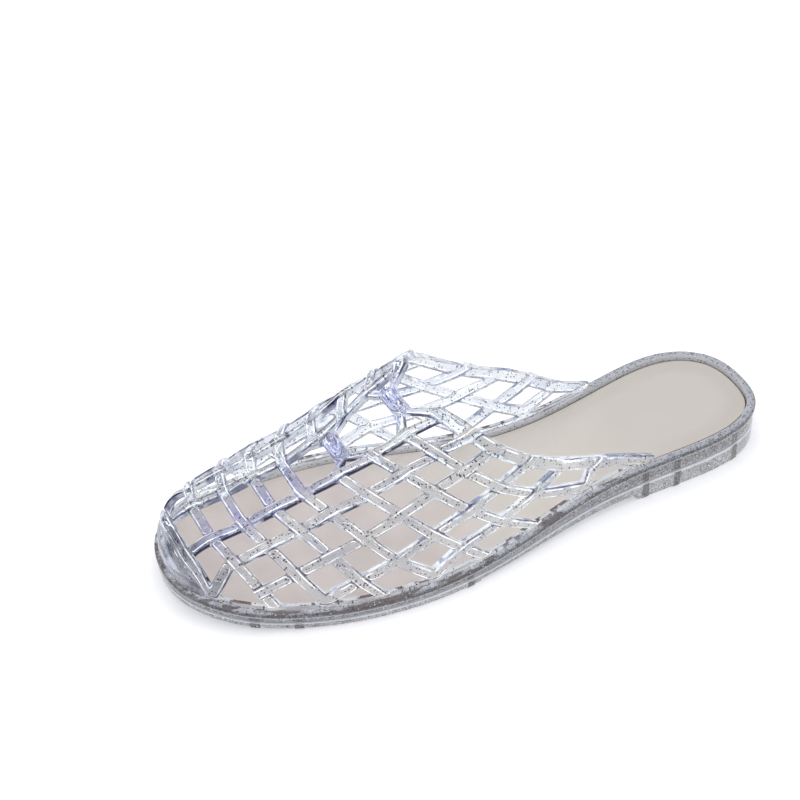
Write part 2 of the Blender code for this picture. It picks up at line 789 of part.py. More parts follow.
def build_root(lattice, side, rib, crossed, x):
    strands = crossed[side, rib]
    toe_name, heel_name = ((side, "root", rib, end) for end in ("toe", "heel"))
    toe, heel = (toe_name, "top"), (heel_name, "top")
    for name in (toe, heel):
        place_on_foot(lattice, name, lattice.verts[name].co.x / MM, side)
    new = root_strand(crossed, side, rib) if rib < len(RIBS) - 1 else None
    girth = girth_to_foot(x, side) - FOOT_BAND_HEIGHT
    last = strands[-1]
    if new is None:
        middle = (side, "root", rib, "middle")
        lattice.add(middle, x, side * girth, STRAND_CROWN)
        lattice.face(heel, middle, toe)
        lattice.strip(
            (side, "root rib", rib), down_end(side, last, rib, 1), [heel, middle, toe],
            end_lift((last + rib) % 2 == 0), STRAND_CROWN,
        )
        return
    notch = (side, "root", rib, "notch")
    lattice.add(notch, x, side * (girth - ROOT_NOTCH))
    middles = {}
    for end, corner in (("toe", toe), ("heel", heel)):
        corner_x, corner_girth = lattice.places[corner]
        middles[end] = (side, "root", rib, end, "middle")
        middle_girth = (corner_girth + side * (girth - ROOT_NOTCH)) / 2
        lattice.add(middles[end], (corner_x + x) / 2, middle_girth, STRAND_CROWN)
    lattice.face(heel, middles["heel"], notch, middles["toe"], toe)
    lattice.strip(
        (side, "root rib", rib), down_end(side, last, rib, 1), [notch, middles["toe"], toe],
        end_lift((last + rib) % 2 == 0), STRAND_CROWN,
    )
    lattice.strip(
        (side, "root strand", rib), fore_end(side, new, rib + 1, 1), [notch, middles["heel"], heel],
        end_lift((new + rib + 1) % 2 == 1), STRAND_CROWN,
    )


def front_edge(lattice, side, crossed):
    """Front edge of the first rib on one side, from the crown line to its root."""
    names = []
    for strand in crossed[side, 0]:
        names += [(side, strand, 0, across, 1) for across in (-1, 0, 1)]
        if strand != crossed[side, 0][-1]:
            names += [row[2] for row in lattice.strips[side, "rib", 0, strand][1:-1]]
    names += [row[2] for row in lattice.strips[side, "root rib", 0][1:-1]]
    return names


def build_toe_guard(lattice, path, crossed, distances):
    """The unbroken wall from the first rib down to the foot band, round the toe."""
    corners = [(side, "root", 0, "toe") for side in (1, -1)]
    crown = [row[2] for row in lattice.strips["crown", 0][1:-1]]
    edge = front_edge(lattice, 1, crossed)[::-1] + crown + front_edge(lattice, -1, crossed)
    chain = [(corners[0], "top"), *edge, (corners[1], "top")]
    steps = [np.linalg.norm(lattice.spot(a) - lattice.spot(b)) for a, b in zip(chain, chain[1:])]
    shares = np.cumsum(steps)[:-1] / sum(steps)
    start, end = (distances[corner] for corner in corners)
    stops, middles = [], []
    for number, (name, share) in enumerate(zip(edge, shares)):
        distance = start + (end - start) * share
        stops.append((distance, ("guard", number)))
        place_stops(lattice, path, stops[-1:])
        along = foot_point(path, distance + 0.5) - foot_point(path, distance - 0.5)
        outward = np.array([-along[1], along[0], 0.0]) / np.hypot(along[0], along[1])
        middle = (lattice.spot(name) + lattice.spot((("guard", number), "top"))) / 2
        bulge = GUARD_BULGE * math.sqrt(math.sin(math.pi * share))
        middles.append(lattice.add_point(("guard middle", number), middle + outward * bulge))
    lattice.ladder([[name, middle, (stop[1], "top")] for name, middle, stop in zip(edge, middles, stops)])
    for corner, number in ((chain[0], 0), (chain[-1], -1)):
        lattice.face(corner, edge[number], middles[number])
        lattice.face(corner, middles[number], (stops[number][1], "top"))
    return stops


def knot_x(pair):
    return sum(station_x(RIBS[rib][0]) for rib in pair) / 2


def build_knot_bar(lattice, pair):
    """The two ribs run together as one bar over the crown line, and part again on each side."""
    toe_rib, heel_rib = pair
    x = knot_x(pair)
    ends = {}
    for side in (1, -1):
        girth = side * KNOT_BAR_LENGTH / 2
        lanes = []
        for lane, (share, lift) in enumerate(KNOT_LANES):
            name = ("knot", pair, side, lane)
            lanes.append(lattice.add(name, x + share * KNOT_WAIST / 2, girth, lift * STRAND_CROWN))
        ends[side] = lanes
        for rib, arm in ((heel_rib, lanes[:3]), (toe_rib, lanes[2:])):
            lattice.strip(
                ("arm", rib, side), down_end(side, 0, rib, -1), arm,
                end_lift(rib % 2 == 0), STRAND_CROWN,
            )
    for lane in range(4):
        lattice.face(ends[1][lane], ends[1][lane + 1], ends[-1][lane + 1], ends[-1][lane])


def join_knot(upper, number, pair):
    """The rounded knot over the bar, one solid with the upper."""
    x = knot_x(pair)
    top = shell_point(x, 0.0) + KNOT_RISE * shell_normal(x, 0.0)
    ball = bmesh.new()
    bmesh.ops.create_uvsphere(ball, u_segments=12, v_segments=8, radius=0.5)
    for vertex in ball.verts:
        # The poles lie across the foot
        across = math.copysign(abs(vertex.co.z * 2) ** KNOT_BLUNTNESS, vertex.co.z) / 2
        sizes = np.array([KNOT_WAIST * KNOT_SWELL, KNOT_BAR_LENGTH * KNOT_SWELL, KNOT_THICKNESS])
        vertex.co = millimetre([top + sizes * (vertex.co.x, across, vertex.co.y)])[0]
    bmesh.ops.recalc_face_normals(ball, faces=ball.faces)
    knot = mesh_object(f"knot_{number}", ball, CUTTERS)
    knot.hide_render = True
    knot.display_type = "WIRE"
    union = upper.modifiers.new(f"knot_{number}", "BOOLEAN")
    union.operation = "UNION"
    union.object = knot


def new_collection(name):
    made = bpy.data.collections.new(name)
    bpy.context.scene.collection.children.link(made)
    return made


for old in list(bpy.data.objects):
    bpy.data.objects.remove(old, do_unlink=True)
PARTS = new_collection("flat_sandal")
CUTTERS = new_collection("cutters")

build_outsole(plastic("clear_sole", (0.78, 0.78, 0.80), 0.18, 0.6))
build_midsole(plastic("clear_rim", (0.84, 0.84, 0.88), 0.12, 0.7))
build_insole(plastic("greige_sheet", (0.62, 0.56, 0.51), 0.55))
build_upper(plastic("clear_upper", (0.88, 0.88, 0.94), 0.10, 0.8))
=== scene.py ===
import math
import bmesh
import bpy
import numpy as np
from mathutils import Matrix, Vector


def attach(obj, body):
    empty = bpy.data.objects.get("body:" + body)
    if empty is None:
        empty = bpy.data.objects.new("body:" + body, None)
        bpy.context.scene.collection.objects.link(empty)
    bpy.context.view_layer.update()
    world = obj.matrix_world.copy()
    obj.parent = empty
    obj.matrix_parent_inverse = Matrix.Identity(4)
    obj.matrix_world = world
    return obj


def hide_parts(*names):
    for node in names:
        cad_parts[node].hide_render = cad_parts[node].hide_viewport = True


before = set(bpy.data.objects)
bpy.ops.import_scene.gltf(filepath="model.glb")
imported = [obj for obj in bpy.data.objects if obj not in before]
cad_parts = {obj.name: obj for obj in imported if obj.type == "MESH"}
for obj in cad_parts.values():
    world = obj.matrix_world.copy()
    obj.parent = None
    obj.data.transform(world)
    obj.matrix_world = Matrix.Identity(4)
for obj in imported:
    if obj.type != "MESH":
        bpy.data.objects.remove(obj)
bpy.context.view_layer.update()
print("frame loaded:", sorted(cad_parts))

# Lengths below are in millimetres unless a note says otherwise; mm turns them into metres.
# +X runs from heel to toe, +Y to the outer side of the foot, and the floor is at Z = 0.
mm = 0.001

# Outline and heights of the sole, shared by every piece
sole = {
    "length": 250.0,
    "ballWidth": 90.0,
    # station along the length, outer edge and inner edge, as shares of the length and the ball width
    "outline": (
        (0.000, 0.000, 0.000), (0.016, 0.190, -0.187), (0.085, 0.319, -0.308), (0.212, 0.352, -0.282),
        (0.352, 0.372, -0.233), (0.491, 0.446, -0.309), (0.632, 0.500, -0.452), (0.751, 0.474, -0.500),
        (0.845, 0.400, -0.494), (0.925, 0.292, -0.440), (0.983, 0.120, -0.278), (1.000, -0.056, -0.056),
    ),
    "heelRim": 16.2,
    "foreRim": 7.3,
    "heelLayer": 8.0,
    "foreLayer": 2.9,
    "slopeStation": 0.414,
    "slopeSpread": 18.0,
    "toeSpring": 4.6,
    "springStation": 0.77,
    "seatGap": 0.3,
}


def splineThrough(knots, values, periodic=False):
    # cubic curve through the values, as a function of the knots' parameter
    knots = np.asarray(knots, float)
    values = np.asarray(values, float).reshape(len(knots), -1)
    gaps = np.diff(knots)
    slopes = np.diff(values, axis=0) / gaps[:, None]
    count = len(knots)
    matrix = np.eye(count)
    right = np.zeros_like(values)
    for row in range(1, count - 1):
        matrix[row, row - 1 : row + 2] = gaps[row - 1], 2 * (gaps[row - 1] + gaps[row]), gaps[row]
        right[row] = 6 * (slopes[row] - slopes[row - 1])
    if periodic:
        matrix[0, -1] = -1.0
        matrix[-1] = 0.0
        matrix[-1, 0], matrix[-1, 1] = 2 * gaps[0], gaps[0]
        matrix[-1, -1], matrix[-1, -2] = 2 * gaps[-1], gaps[-1]
        right[-1] = 6 * (slopes[0] - slopes[-1])
    bends = np.linalg.solve(matrix, right)

    def curve(at):
        at = np.clip(np.atleast_1d(np.asarray(at, float)), knots[0], knots[-1])
        row = np.clip(np.searchsorted(knots, at, side="right") - 1, 0, count - 2)
        gap = gaps[row][:, None]
        ahead = knots[row + 1][:, None] - at[:, None]
        behind = at[:, None] - knots[row][:, None]
        return (
            (bends[row] * ahead**3 + bends[row + 1] * behind**3) / (6 * gap)
            + (values[row] / gap - bends[row] * gap / 6) * ahead
            + (values[row + 1] / gap - bends[row + 1] * gap / 6) * behind
        )

    return curve


def outlineLoop(count=2400):
    rows = sole["outline"]
    outer = [(station, outerEdge) for station, outerEdge, _ in rows]
    inner = [(station, innerEdge) for station, _, innerEdge in rows[-2:0:-1]]
    points = np.array(outer + inner + outer[:1]) * (sole["length"], sole["ballWidth"])
    chords = np.r_[0, np.cumsum(np.linalg.norm(np.diff(points, axis=0), axis=1) ** 0.5)]
    loop = splineThrough(chords, points, periodic=True)(np.linspace(0, chords[-1], count + 1)[:-1])
    return loop - (loop.max(axis=0) + loop.min(axis=0)) / 2


def sideCurves(loop):
    # the outer and the inner side, each from heel to toe, with outward normals
    along = np.roll(loop, -1, axis=0) - np.roll(loop, 1, axis=0)
    outward = np.stack([along[:, 1], -along[:, 0]], axis=1)
    outward /= np.linalg.norm(outward, axis=1)[:, None]
    turn = (loop[:, 0] * np.roll(loop[:, 1], -1) - loop[:, 1] * np.roll(loop[:, 0], -1)).sum()
    outward = outward if turn > 0 else -outward
    heel, toe = int(np.argmin(loop[:, 0])), int(np.argmax(loop[:, 0]))
    turned = np.roll(np.hstack([loop, outward]), -heel, axis=0)
    split = (toe - heel) % len(loop)
    first, second = turned[: split + 1], np.vstack([turned[split:], turned[:1]])[::-1]
    return (first, second) if first[:, 1].mean() > second[:, 1].mean() else (second, first)


loop = outlineLoop()
heelX, toeX = loop[:, 0].min(), loop[:, 0].max()
outerSide, innerSide = sideCurves(loop)


def stationX(share):
    return heelX + share * (toeX - heelX)


def slopeBetween(x, heelValue, foreValue):
    fall = 1 + np.exp((x - stationX(sole["slopeStation"])) / sole["slopeSpread"])
    return foreValue + (heelValue - foreValue) / fall


def toeSpring(x):
    start = stationX(sole["springStation"])
    return sole["toeSpring"] * np.clip((x - start) / (toeX - start), 0, None) ** 2


def rimHeight(x):
    return slopeBetween(x, sole["heelRim"], sole["foreRim"]) + toeSpring(x)


def layerHeight(x):
    return slopeBetween(x, sole["heelLayer"], sole["foreLayer"]) + toeSpring(x)


def sidePoint(side, x):
    curve = outerSide if side > 0 else innerSide
    return [float(np.interp(x, curve[:, 0], curve[:, column])) for column in range(4)]


def soleStations(count, extra=()):
    # closer at the round ends, with the steps' own stations added
    even = heelX + (toeX - heelX) * (1 - np.cos(np.linspace(0, math.pi, count + 1))) / 2
    kept = [x for x in even[1:-1] if all(abs(x - other) > 0.25 for other in extra)]
    return [even[0], *sorted([*kept, *extra]), even[-1]]


def ringAt(stations, inset, height, relief=None):
    # one level of a sole piece: outer side from heel to toe, then the inner side back
    sides = {1: [], -1: []}
    for number, x in enumerate(stations):
        for side, row in sides.items():
            edgeX, edgeY, outX, outY = sidePoint(side, x)
            if number in (0, len(stations) - 1):
                outX, outY = (-1.0 if number == 0 else 1.0), 0.0
            move = (relief(x) if relief else 0.0) - inset
            pointX = edgeX + outX * move
            row.append((pointX, edgeY + outY * move, float(height(pointX))))
    return sides[1] + sides[-1][-2:0:-1]


def levelledPiece(name, levels):
    # a closed form through its levels, each (points, band), with band kept as an attribute for the finish
    mesh = bmesh.new()
    band = mesh.verts.layers.float.new("band")
    loops = []
    for points, share in levels:
        verts = [mesh.verts.new([value * mm for value in point]) for point in points]
        for vert in verts:
            vert[band] = share
        loops.append(verts)
    for lower, upper in zip(loops, loops[1:]):
        for number in range(len(lower)):
            after = (number + 1) % len(lower)
            mesh.faces.new((lower[number], lower[after], upper[after], upper[number]))
    for verts in (loops[0], loops[-1]):
        count, half = len(verts), len(verts) // 2
        mesh.faces.new((verts[0], verts[1], verts[-1]))
        for number in range(1, half - 1):
            far = count - number
            mesh.faces.new((verts[number], verts[number + 1], verts[far - 1], verts[far]))
        mesh.faces.new((verts[half - 1], verts[half], verts[half + 1]))
    bmesh.ops.recalc_face_normals(mesh, faces=mesh.faces)
    return pieceFrom(name, mesh)


def pieceFrom(name, mesh):
    data = bpy.data.meshes.new(name)
    mesh.to_mesh(data)
    mesh.free()
    piece = bpy.data.objects.new(name, data)
    bpy.context.scene.collection.objects.link(piece)
    return piece


def pick(piece):
    bpy.ops.object.select_all(action="DESELECT")
    piece.select_set(True)
    bpy.context.view_layer.objects.active = piece


def applyModifier(piece, kind, **values):
    pick(piece)
    modifier = piece.modifiers.new(kind.lower(), kind)
    for key, value in values.items():
        setattr(modifier, key, value)
    bpy.ops.object.modifier_apply(modifier=modifier.name)


def dress(piece, *materials):
    for material in materials:
        piece.data.materials.append(material)


def quarterRound(size, steps):
    # steps round a quarter turn: the turn, and the distances that are left to its two sides
    turns = np.linspace(0, math.pi / 2, steps + 1)
    return [(turn, size * (1 - math.sin(turn)), size * (1 - math.cos(turn))) for turn in turns]


def settle(piece, node, angle=35):
    pick(piece)
    bpy.ops.object.shade_smooth_by_angle(angle=math.radians(angle))
    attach(piece, "root")
    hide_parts(node)


# Node groups shared by the plastics: each puts out masks that follow the place on the piece
def makeGroup(name, inputs, outputs):
    group = bpy.data.node_groups.new(name, "ShaderNodeTree")
    for inOut, sockets in (("INPUT", inputs), ("OUTPUT", outputs)):
        for socket, kind in sockets.items():
            group.interface.new_socket(socket, in_out=inOut, socket_type="NodeSocket" + kind)
    into, out = group.nodes.new("NodeGroupInput"), group.nodes.new("NodeGroupOutput")
    return group, into.outputs, out.inputs


def makeFlakeGroup():
    # glitter flakes and specks held in the plastic: one in each held cell, with a tone of its own
    group, into, out = makeGroup(
        "glitterFlakes", {"Vector": "Vector", "Scale": "Float", "Size": "Float", "Share": "Float"},
        {"Dark": "Float", "Bright": "Float", "Tone": "Float"},
    )
    nodes, links = group.nodes, group.links
    brightFrom = 0.72
    cells = nodes.new("ShaderNodeTexVoronoi")
    links.new(into["Vector"], cells.inputs["Vector"])
    links.new(into["Scale"], cells.inputs["Scale"])
    split = nodes.new("ShaderNodeSeparateColor")
    links.new(cells.outputs["Color"], split.inputs["Color"])

    def maths(operation, first, second):
        node = nodes.new("ShaderNodeMath")
        node.operation = operation
        for socket, value in zip(node.inputs, (first, second)):
            if isinstance(value, float):
                socket.default_value = value
            else:
                links.new(value, socket)
        return node.outputs[0]

    inside = maths("LESS_THAN", cells.outputs["Distance"], into["Size"])
    held = maths("MULTIPLY", inside, maths("LESS_THAN", split.outputs["Red"], into["Share"]))
    bright = maths("GREATER_THAN", split.outputs["Green"], brightFrom)
    links.new(maths("MULTIPLY", held, maths("SUBTRACT", 1.0, bright)), out["Dark"])
    links.new(maths("MULTIPLY", held, bright), out["Bright"])
    links.new(split.outputs["Blue"], out["Tone"])
    return group


def makeStainGroup():
    # patches of glue along the rim: Start and Full are the noise values where a patch begins and is full
    group, into, out = makeGroup(
        "glueStain", {"Vector": "Vector", "Start": "Float", "Full": "Float", "Strength": "Float"},
        {"Mask": "Float"},
    )
    nodes, links = group.nodes, group.links
    stretched = nodes.new("ShaderNodeMapping")
    stretched.inputs["Scale"].default_value = (0.4, 1.0, 1.6)
    patches = nodes.new("ShaderNodeTexNoise")
    patches.inputs["Scale"].default_value = 230.0
    patches.inputs["Detail"].default_value = 3.0
    level = nodes.new("ShaderNodeMapRange")
    links.new(into["Vector"], stretched.inputs["Vector"])
    links.new(stretched.outputs["Vector"], patches.inputs["Vector"])
    links.new(patches.outputs["Fac"], level.inputs["Value"])
    for name, socket in (("Start", "From Min"), ("Full", "From Max"), ("Strength", "To Max")):
        links.new(into[name], level.inputs[socket])
    links.new(level.outputs["Result"], out["Mask"])
    return group


flakeGroup, stainGroup = makeFlakeGroup(), makeStainGroup()


class Finish:
    # one material, with short calls to place and join its nodes
    def __init__(self, name, colour, **values):
        self.material = bpy.data.materials.new(name)
        self.material.use_nodes = True
        self.tree = self.material.node_tree
        self.shader = self.tree.nodes["Principled BSDF"]
        self.shader.inputs["Base Color"].default_value = (*colour, 1.0)
        for key, value in values.items():
            self.shader.inputs[key].default_value = value
        self.coords = self.tree.nodes.new("ShaderNodeTexCoord").outputs["Object"]

    def node(self, kind, inputs=(), **settings):
        made = self.tree.nodes.new(kind)
        for key, value in settings.items():
            setattr(made, key, value)
        for key, value in dict(inputs).items():
            if isinstance(value, bpy.types.NodeSocket):
                self.tree.links.new(value, made.inputs[key])
            else:
                made.inputs[key].default_value = value
        return made

    def mix(self, factor, first, second, blend="MIX"):
        made = self.node("ShaderNodeMix", data_type="RGBA", blend_type=blend)
        for socket, value in ((made.inputs[0], factor), (made.inputs[6], first), (made.inputs[7], second)):
            if isinstance(value, bpy.types.NodeSocket):
                self.tree.links.new(value, socket)
            elif isinstance(value, tuple):
                socket.default_value = (*value, 1.0)
            else:
                socket.default_value = value
        return made.outputs[2]

    def ramp(self, value, *stops):
        made = self.node("ShaderNodeValToRGB", {"Fac": value})
        while len(made.color_ramp.elements) < len(stops):
            made.color_ramp.elements.new(1.0)
        for element, (place, tone) in zip(made.color_ramp.elements, stops):
            element.position = place
            element.color = (*(tone if isinstance(tone, tuple) else (tone,) * 3), 1.0)
        return made.outputs["Color"]

    def reach(self, value, ends, most=1.0):
        # 0 up to the first end and most from the second
        inputs = {"Value": value, "From Min": ends[0], "From Max": ends[1], "To Max": most}
        return self.node("ShaderNodeMapRange", inputs).outputs["Result"]

    def maths(self, operation, first, second=0.0):
        return self.node("ShaderNodeMath", {0: first, 1: second}, operation=operation).outputs[0]

    def product(self, first, second):
        return self.maths("MULTIPLY", first, second)

    def attribute(self, name):
        return self.node("ShaderNodeAttribute", attribute_name=name).outputs["Fac"]

    def along(self, axis):
        # place on the shoe in metres
        return self.node("ShaderNodeSeparateXYZ", {"Vector": self.coords}).outputs[axis]

    def noise(self, scale, detail=3.0):
        inputs = {"Vector": self.coords, "Scale": scale, "Detail": detail}
        return self.node("ShaderNodeTexNoise", inputs).outputs["Fac"]

    def flakes(self, scale, size, share):
        inputs = {"Vector": self.coords, "Scale": scale, "Size": size, "Share": share}
        return self.grouped(flakeGroup, inputs)

    def glue(self, start, full, strength):
        inputs = {"Vector": self.coords, "Start": start, "Full": full, "Strength": strength}
        return self.grouped(stainGroup, inputs)["Mask"]

    def grouped(self, group, inputs):
        return self.node("ShaderNodeGroup", inputs, node_tree=group).outputs

    def specked(self, fleck, colour, look):
        colour = self.mix(fleck["Dark"], colour, look["speck"])
        return self.mix(fleck["Bright"], colour, look["glint"])

    def link(self, output, socket):
        self.tree.links.new(output, self.shader.inputs[socket])

    def bump(self, height, strength, distance):
        inputs = {"Height": height, "Strength": strength, "Distance": distance * mm}
        self.link(self.node("ShaderNodeBump", inputs).outputs["Normal"], "Normal")


# Clear plastic of the upper. Reaches are in metres on the shoe: where a tint starts, and where it is full.
upperLook = {
    "haze": ((0.70, 0.74, 0.81), (0.92, 0.95, 0.94)),
    "crownTint": (0.60, 0.63, 0.88),
    "crownReach": (0.014, 0.002),
    "toeTint": ((0.26, 0.29, 0.36), (0.66, 0.70, 0.78)),
    "toeReach": (0.100, 0.119),
    "glueTint": (0.20, 0.155, 0.15),
    # painted shade: colour of the dark lines along the strands' edges
    "outline": (0.03, 0.035, 0.13),
    "speck": (0.001, 0.001, 0.004),
    "glint": (0.97, 0.97, 1.0),
    # strength of the glow of the painted highlight lines on the strands
    "highlightGlow": 0.75,
    # the strands' side walls: name, deep colour, pale colour, share of deep patches, their scale, and the
    # share that is added near the crown line. The deep patches are painted shade, except on footWalls,
    # where they are glue.
    "walls": (
        ("paleShadeWalls", (0.34, 0.38, 0.52), (0.96, 0.985, 1.0), 0.44, 110.0, 0.0),
        ("deepShadeWalls", (0.006, 0.006, 0.04), (0.80, 0.85, 0.93), 0.465, 110.0, 0.10),
        ("footWalls", (0.17, 0.13, 0.125), (0.84, 0.87, 0.90), 0.47, 230.0, 0.0),
    ),
    "wallReach": (0.034, 0.014),
    "patchEdge": 0.03,
}


def makeUpperPlastic():
    look = upperLook
    finish = Finish(
        "upperPlastic", (0.86, 0.87, 0.92), Roughness=0.035, IOR=1.5,
        **{"Transmission Weight": 0.9, "Emission Strength": look["highlightGlow"]},
    )
    lane, under = finish.attribute("lane"), finish.attribute("pass")
    haze = finish.ramp(finish.noise(60.0), (0.3, look["haze"][0]), (0.7, look["haze"][1]))
    crown = finish.reach(finish.maths("ABSOLUTE", finish.along("Y")), look["crownReach"])
    colour = finish.mix(crown, haze, look["crownTint"])
    lobes = finish.ramp(finish.noise(90.0, 2.0), (0.42, look["toeTint"][0]), (0.60, look["toeTint"][1]))
    colour = finish.mix(finish.reach(finish.along("X"), look["toeReach"]), colour, lobes)
    stain = finish.product(finish.attribute("foot"), finish.glue(0.49, 0.56, 0.75))
    colour = finish.mix(stain, colour, look["glueTint"])
    # painted shade: broken dark lines at the strands' edges, where clear plastic shows dark; the bright
    # lines inside them are painted highlights
    broken = finish.ramp(finish.noise(130.0, 2.0), (0.44, 1.0), (0.58, 0.15))
    outline = finish.product(finish.ramp(lane, (0.82, 0.0), (0.91, 1.0)), broken)
    colour = finish.mix(outline, colour, look["outline"])
    finish.link(finish.specked(finish.flakes(900.0, 0.29, 0.45), colour, look), "Base Color")
    # painted highlight: glowing lines along each strand's top, left out where it passes under another and
    # broken into gaps
    crestHighlight = finish.ramp(lane, (0.57, 0.0), (0.65, 1.0), (0.73, 1.0), (0.80, 0.0))
    crestHighlight = finish.product(crestHighlight, finish.ramp(under, (0.40, 1.0), (0.55, 0.0)))
    gaps = finish.ramp(finish.noise(150.0, 2.0), (0.42, 0.0), (0.58, 1.0))
    finish.link(finish.product(crestHighlight, gaps), "Emission Color")
    finish.bump(finish.noise(140.0, 1.0), 0.25, 0.25)
    return finish.material


def makeUpperWall(name, shadeAndGlue, pale, share, scale, crownShare):
    # the strands' side walls, with deep patches on pale; the patches are painted shade, and glue on the
    # walls by the foot band
    look = upperLook
    finish = Finish(name, pale, Roughness=0.05, IOR=1.5, **{"Transmission Weight": 0.4})
    crown = finish.reach(finish.maths("ABSOLUTE", finish.along("Y")), look["wallReach"], crownShare)
    cloud = finish.maths("SUBTRACT", finish.noise(scale, 2.0), crown)
    patch = finish.ramp(cloud, (share - look["patchEdge"], shadeAndGlue), (share + look["patchEdge"], pale))
    fleck = finish.flakes(900.0, 0.27, 0.3)
    finish.link(finish.mix(fleck["Dark"], patch, look["speck"]), "Base Color")
    return finish.material


# Clear plastic of the rim. Its band attribute runs up the tray's profile: to 0.66 the side wall, 0.70 to
# 0.73 the flange's lip, 0.76 to 0.79 its round, 0.88 the flat rim, 0.92 the inner round, 1 the inner wall.
rimLook = {
    "flakes": ((0.0, (0.30, 0.31, 0.35)), (0.7, (0.84, 0.87, 0.93)), (1.0, (1.0, 1.0, 1.0))),
    "shade": (
        (0.0, 1.0), (0.20, 0.8), (0.30, 0.42), (0.67, 0.34), (0.73, 0.40), (0.765, 0.40), (0.785, 0.85),
        (0.83, 1.0), (0.885, 1.0), (0.90, 0.9), (0.93, 0.9), (0.95, 1.0),
    ),
    "highlightLines": (
        (0.69, 0.0), (0.705, 1.0), (0.725, 1.0), (0.735, 0.0), (0.835, 0.0), (0.87, 0.5), (0.925, 0.85),
        (0.965, 1.0),
    ),
    "highlightColour": (0.95, 0.97, 0.98),
    "mottle": (0.93, 0.95, 0.99),
    "glueTint": (0.19, 0.15, 0.14),
    "glueReach": (-0.058, -0.044),      # metres along the shoe: the upper is moulded on in front of here
    "speck": (0.04, 0.04, 0.05),
    "glint": (0.97, 0.97, 1.0),
}


def makeRimPlastic():
    look = rimLook
    finish = Finish(
        "rimPlastic", (0.80, 0.80, 0.84), Roughness=0.06, IOR=1.5, **{"Transmission Weight": 0.4},
    )
    band = finish.attribute("band")
    silver = finish.ramp(finish.flakes(1900.0, 0.5, 0.9)["Tone"], *look["flakes"])
    onTop = finish.ramp(band, (0.77, 0.0), (0.79, 1.0))
    mottle = finish.product(finish.ramp(finish.noise(420.0), (0.42, 0.0), (0.60, 0.85)), onTop)
    colour = finish.mix(mottle, silver, look["mottle"])
    # painted shade: darker down the side wall and the flange's lip than on the rim's top
    colour = finish.mix(1.0, colour, finish.ramp(band, *look["shade"]), "MULTIPLY")
    # brown glue shows through where the upper is moulded on
    stain = finish.product(finish.glue(0.46, 0.53, 0.8), finish.reach(finish.along("X"), look["glueReach"]))
    outside = finish.ramp(band, (0.73, 0.0), (0.75, 1.0), (0.84, 1.0), (0.90, 0.0))
    colour = finish.mix(finish.product(stain, outside), colour, look["glueTint"])
    # painted highlights: bright lines along the flange's lip and over the rim's inner round and inner wall
    colour = finish.mix(finish.ramp(band, *look["highlightLines"]), colour, look["highlightColour"])
    finish.link(finish.specked(finish.flakes(1100.0, 0.30, 0.55), colour, look), "Base Color")
    finish.bump(finish.noise(500.0), 0.3, 0.15)
    return finish.material


# Glittery plastic of the sole's sides: darkest and lightest flake, and how strongly a painted highlight
# lights up the upper edge
soleLook = {
    "soleGlitter": ((0.17, 0.17, 0.17), (0.80, 0.81, 0.81), 0.8),
    "soleBars": ((0.07, 0.062, 0.06), (0.34, 0.33, 0.33), 0.0),
    "rimBars": ((0.07, 0.062, 0.06), (0.34, 0.33, 0.33), 0.0),
    "rimSide": ((0.09, 0.085, 0.08), (0.62, 0.61, 0.60), 0.0),
    "edgeHighlightColour": (0.95, 0.96, 0.97),
    "speck": (0.03, 0.03, 0.04),
    "glint": (0.98, 0.98, 1.0),
}


def makeSolePlastic(name):
    look = soleLook
    dark, light, lip = look[name]
    finish = Finish(name, light, Roughness=0.09, IOR=1.5, **{"Transmission Weight": 0.15, "Metallic": 0.05})
    silver = finish.ramp(finish.flakes(2200.0, 0.6, 1.0)["Tone"], (0.0, dark), (1.0, light))
    patch = finish.ramp(finish.noise(220.0), (0.4, 0.0), (0.7, 0.7))
    colour = finish.mix(patch, silver, tuple((a + b) / 2 for a, b in zip(dark, light)))
    colour = finish.specked(finish.flakes(1000.0, 0.26, 0.3), colour, look)
    # painted highlight along the upper edge
    edge = finish.ramp(finish.attribute("band"), (0.88, 0.0), (0.97, lip))
    finish.link(finish.mix(edge, colour, look["edgeHighlightColour"]), "Base Color")
    finish.bump(finish.noise(650.0), 0.35, 0.15)
    return finish.material


# Greige sheet, with the upper's shadow painted on: a little darker and pinker under the upper in the
# forefoot. The reach is in metres along the shoe.
insoleLook = {
    "heel": ((0.655, 0.605, 0.54), (0.695, 0.645, 0.575)),
    "forefoot": ((0.56, 0.495, 0.45), (0.65, 0.59, 0.54)),
    "forefootReach": (-0.015, 0.035),
    # name, colour, roughness and grain of the glue round the sheet, seen through the rim, and of its edge
    "glue": ("insoleGlue", (0.13, 0.085, 0.06), 0.7, 700.0),
    "cutEdge": ("insoleCutEdge", (0.16, 0.095, 0.065), 0.75, 900.0),
}


def makeInsoleSheet():
    look = insoleLook
    finish = Finish("insoleSheet", (0.66, 0.61, 0.54), Roughness=0.6)
    heel = finish.ramp(finish.noise(25.0, 5.0), (0.3, look["heel"][0]), (0.7, look["heel"][1]))
    # painted shadow of the upper: the forefoot darker and pinker
    fore = finish.ramp(finish.noise(45.0, 4.0), (0.35, look["forefoot"][0]), (0.7, look["forefoot"][1]))
    shaded = finish.reach(finish.along("X"), look["forefootReach"])
    finish.link(finish.mix(shaded, heel, fore), "Base Color")
    grain = finish.node("ShaderNodeTexVoronoi", {"Vector": finish.coords, "Scale": 1500.0})
    finish.bump(grain.outputs["Distance"], 0.3, 0.12)
    return finish.material


def makeRoughBrown(name, colour, roughness, scale):
    finish = Finish(name, colour, Roughness=roughness)
    finish.bump(finish.noise(scale), 0.4, 0.1)
    return finish.material


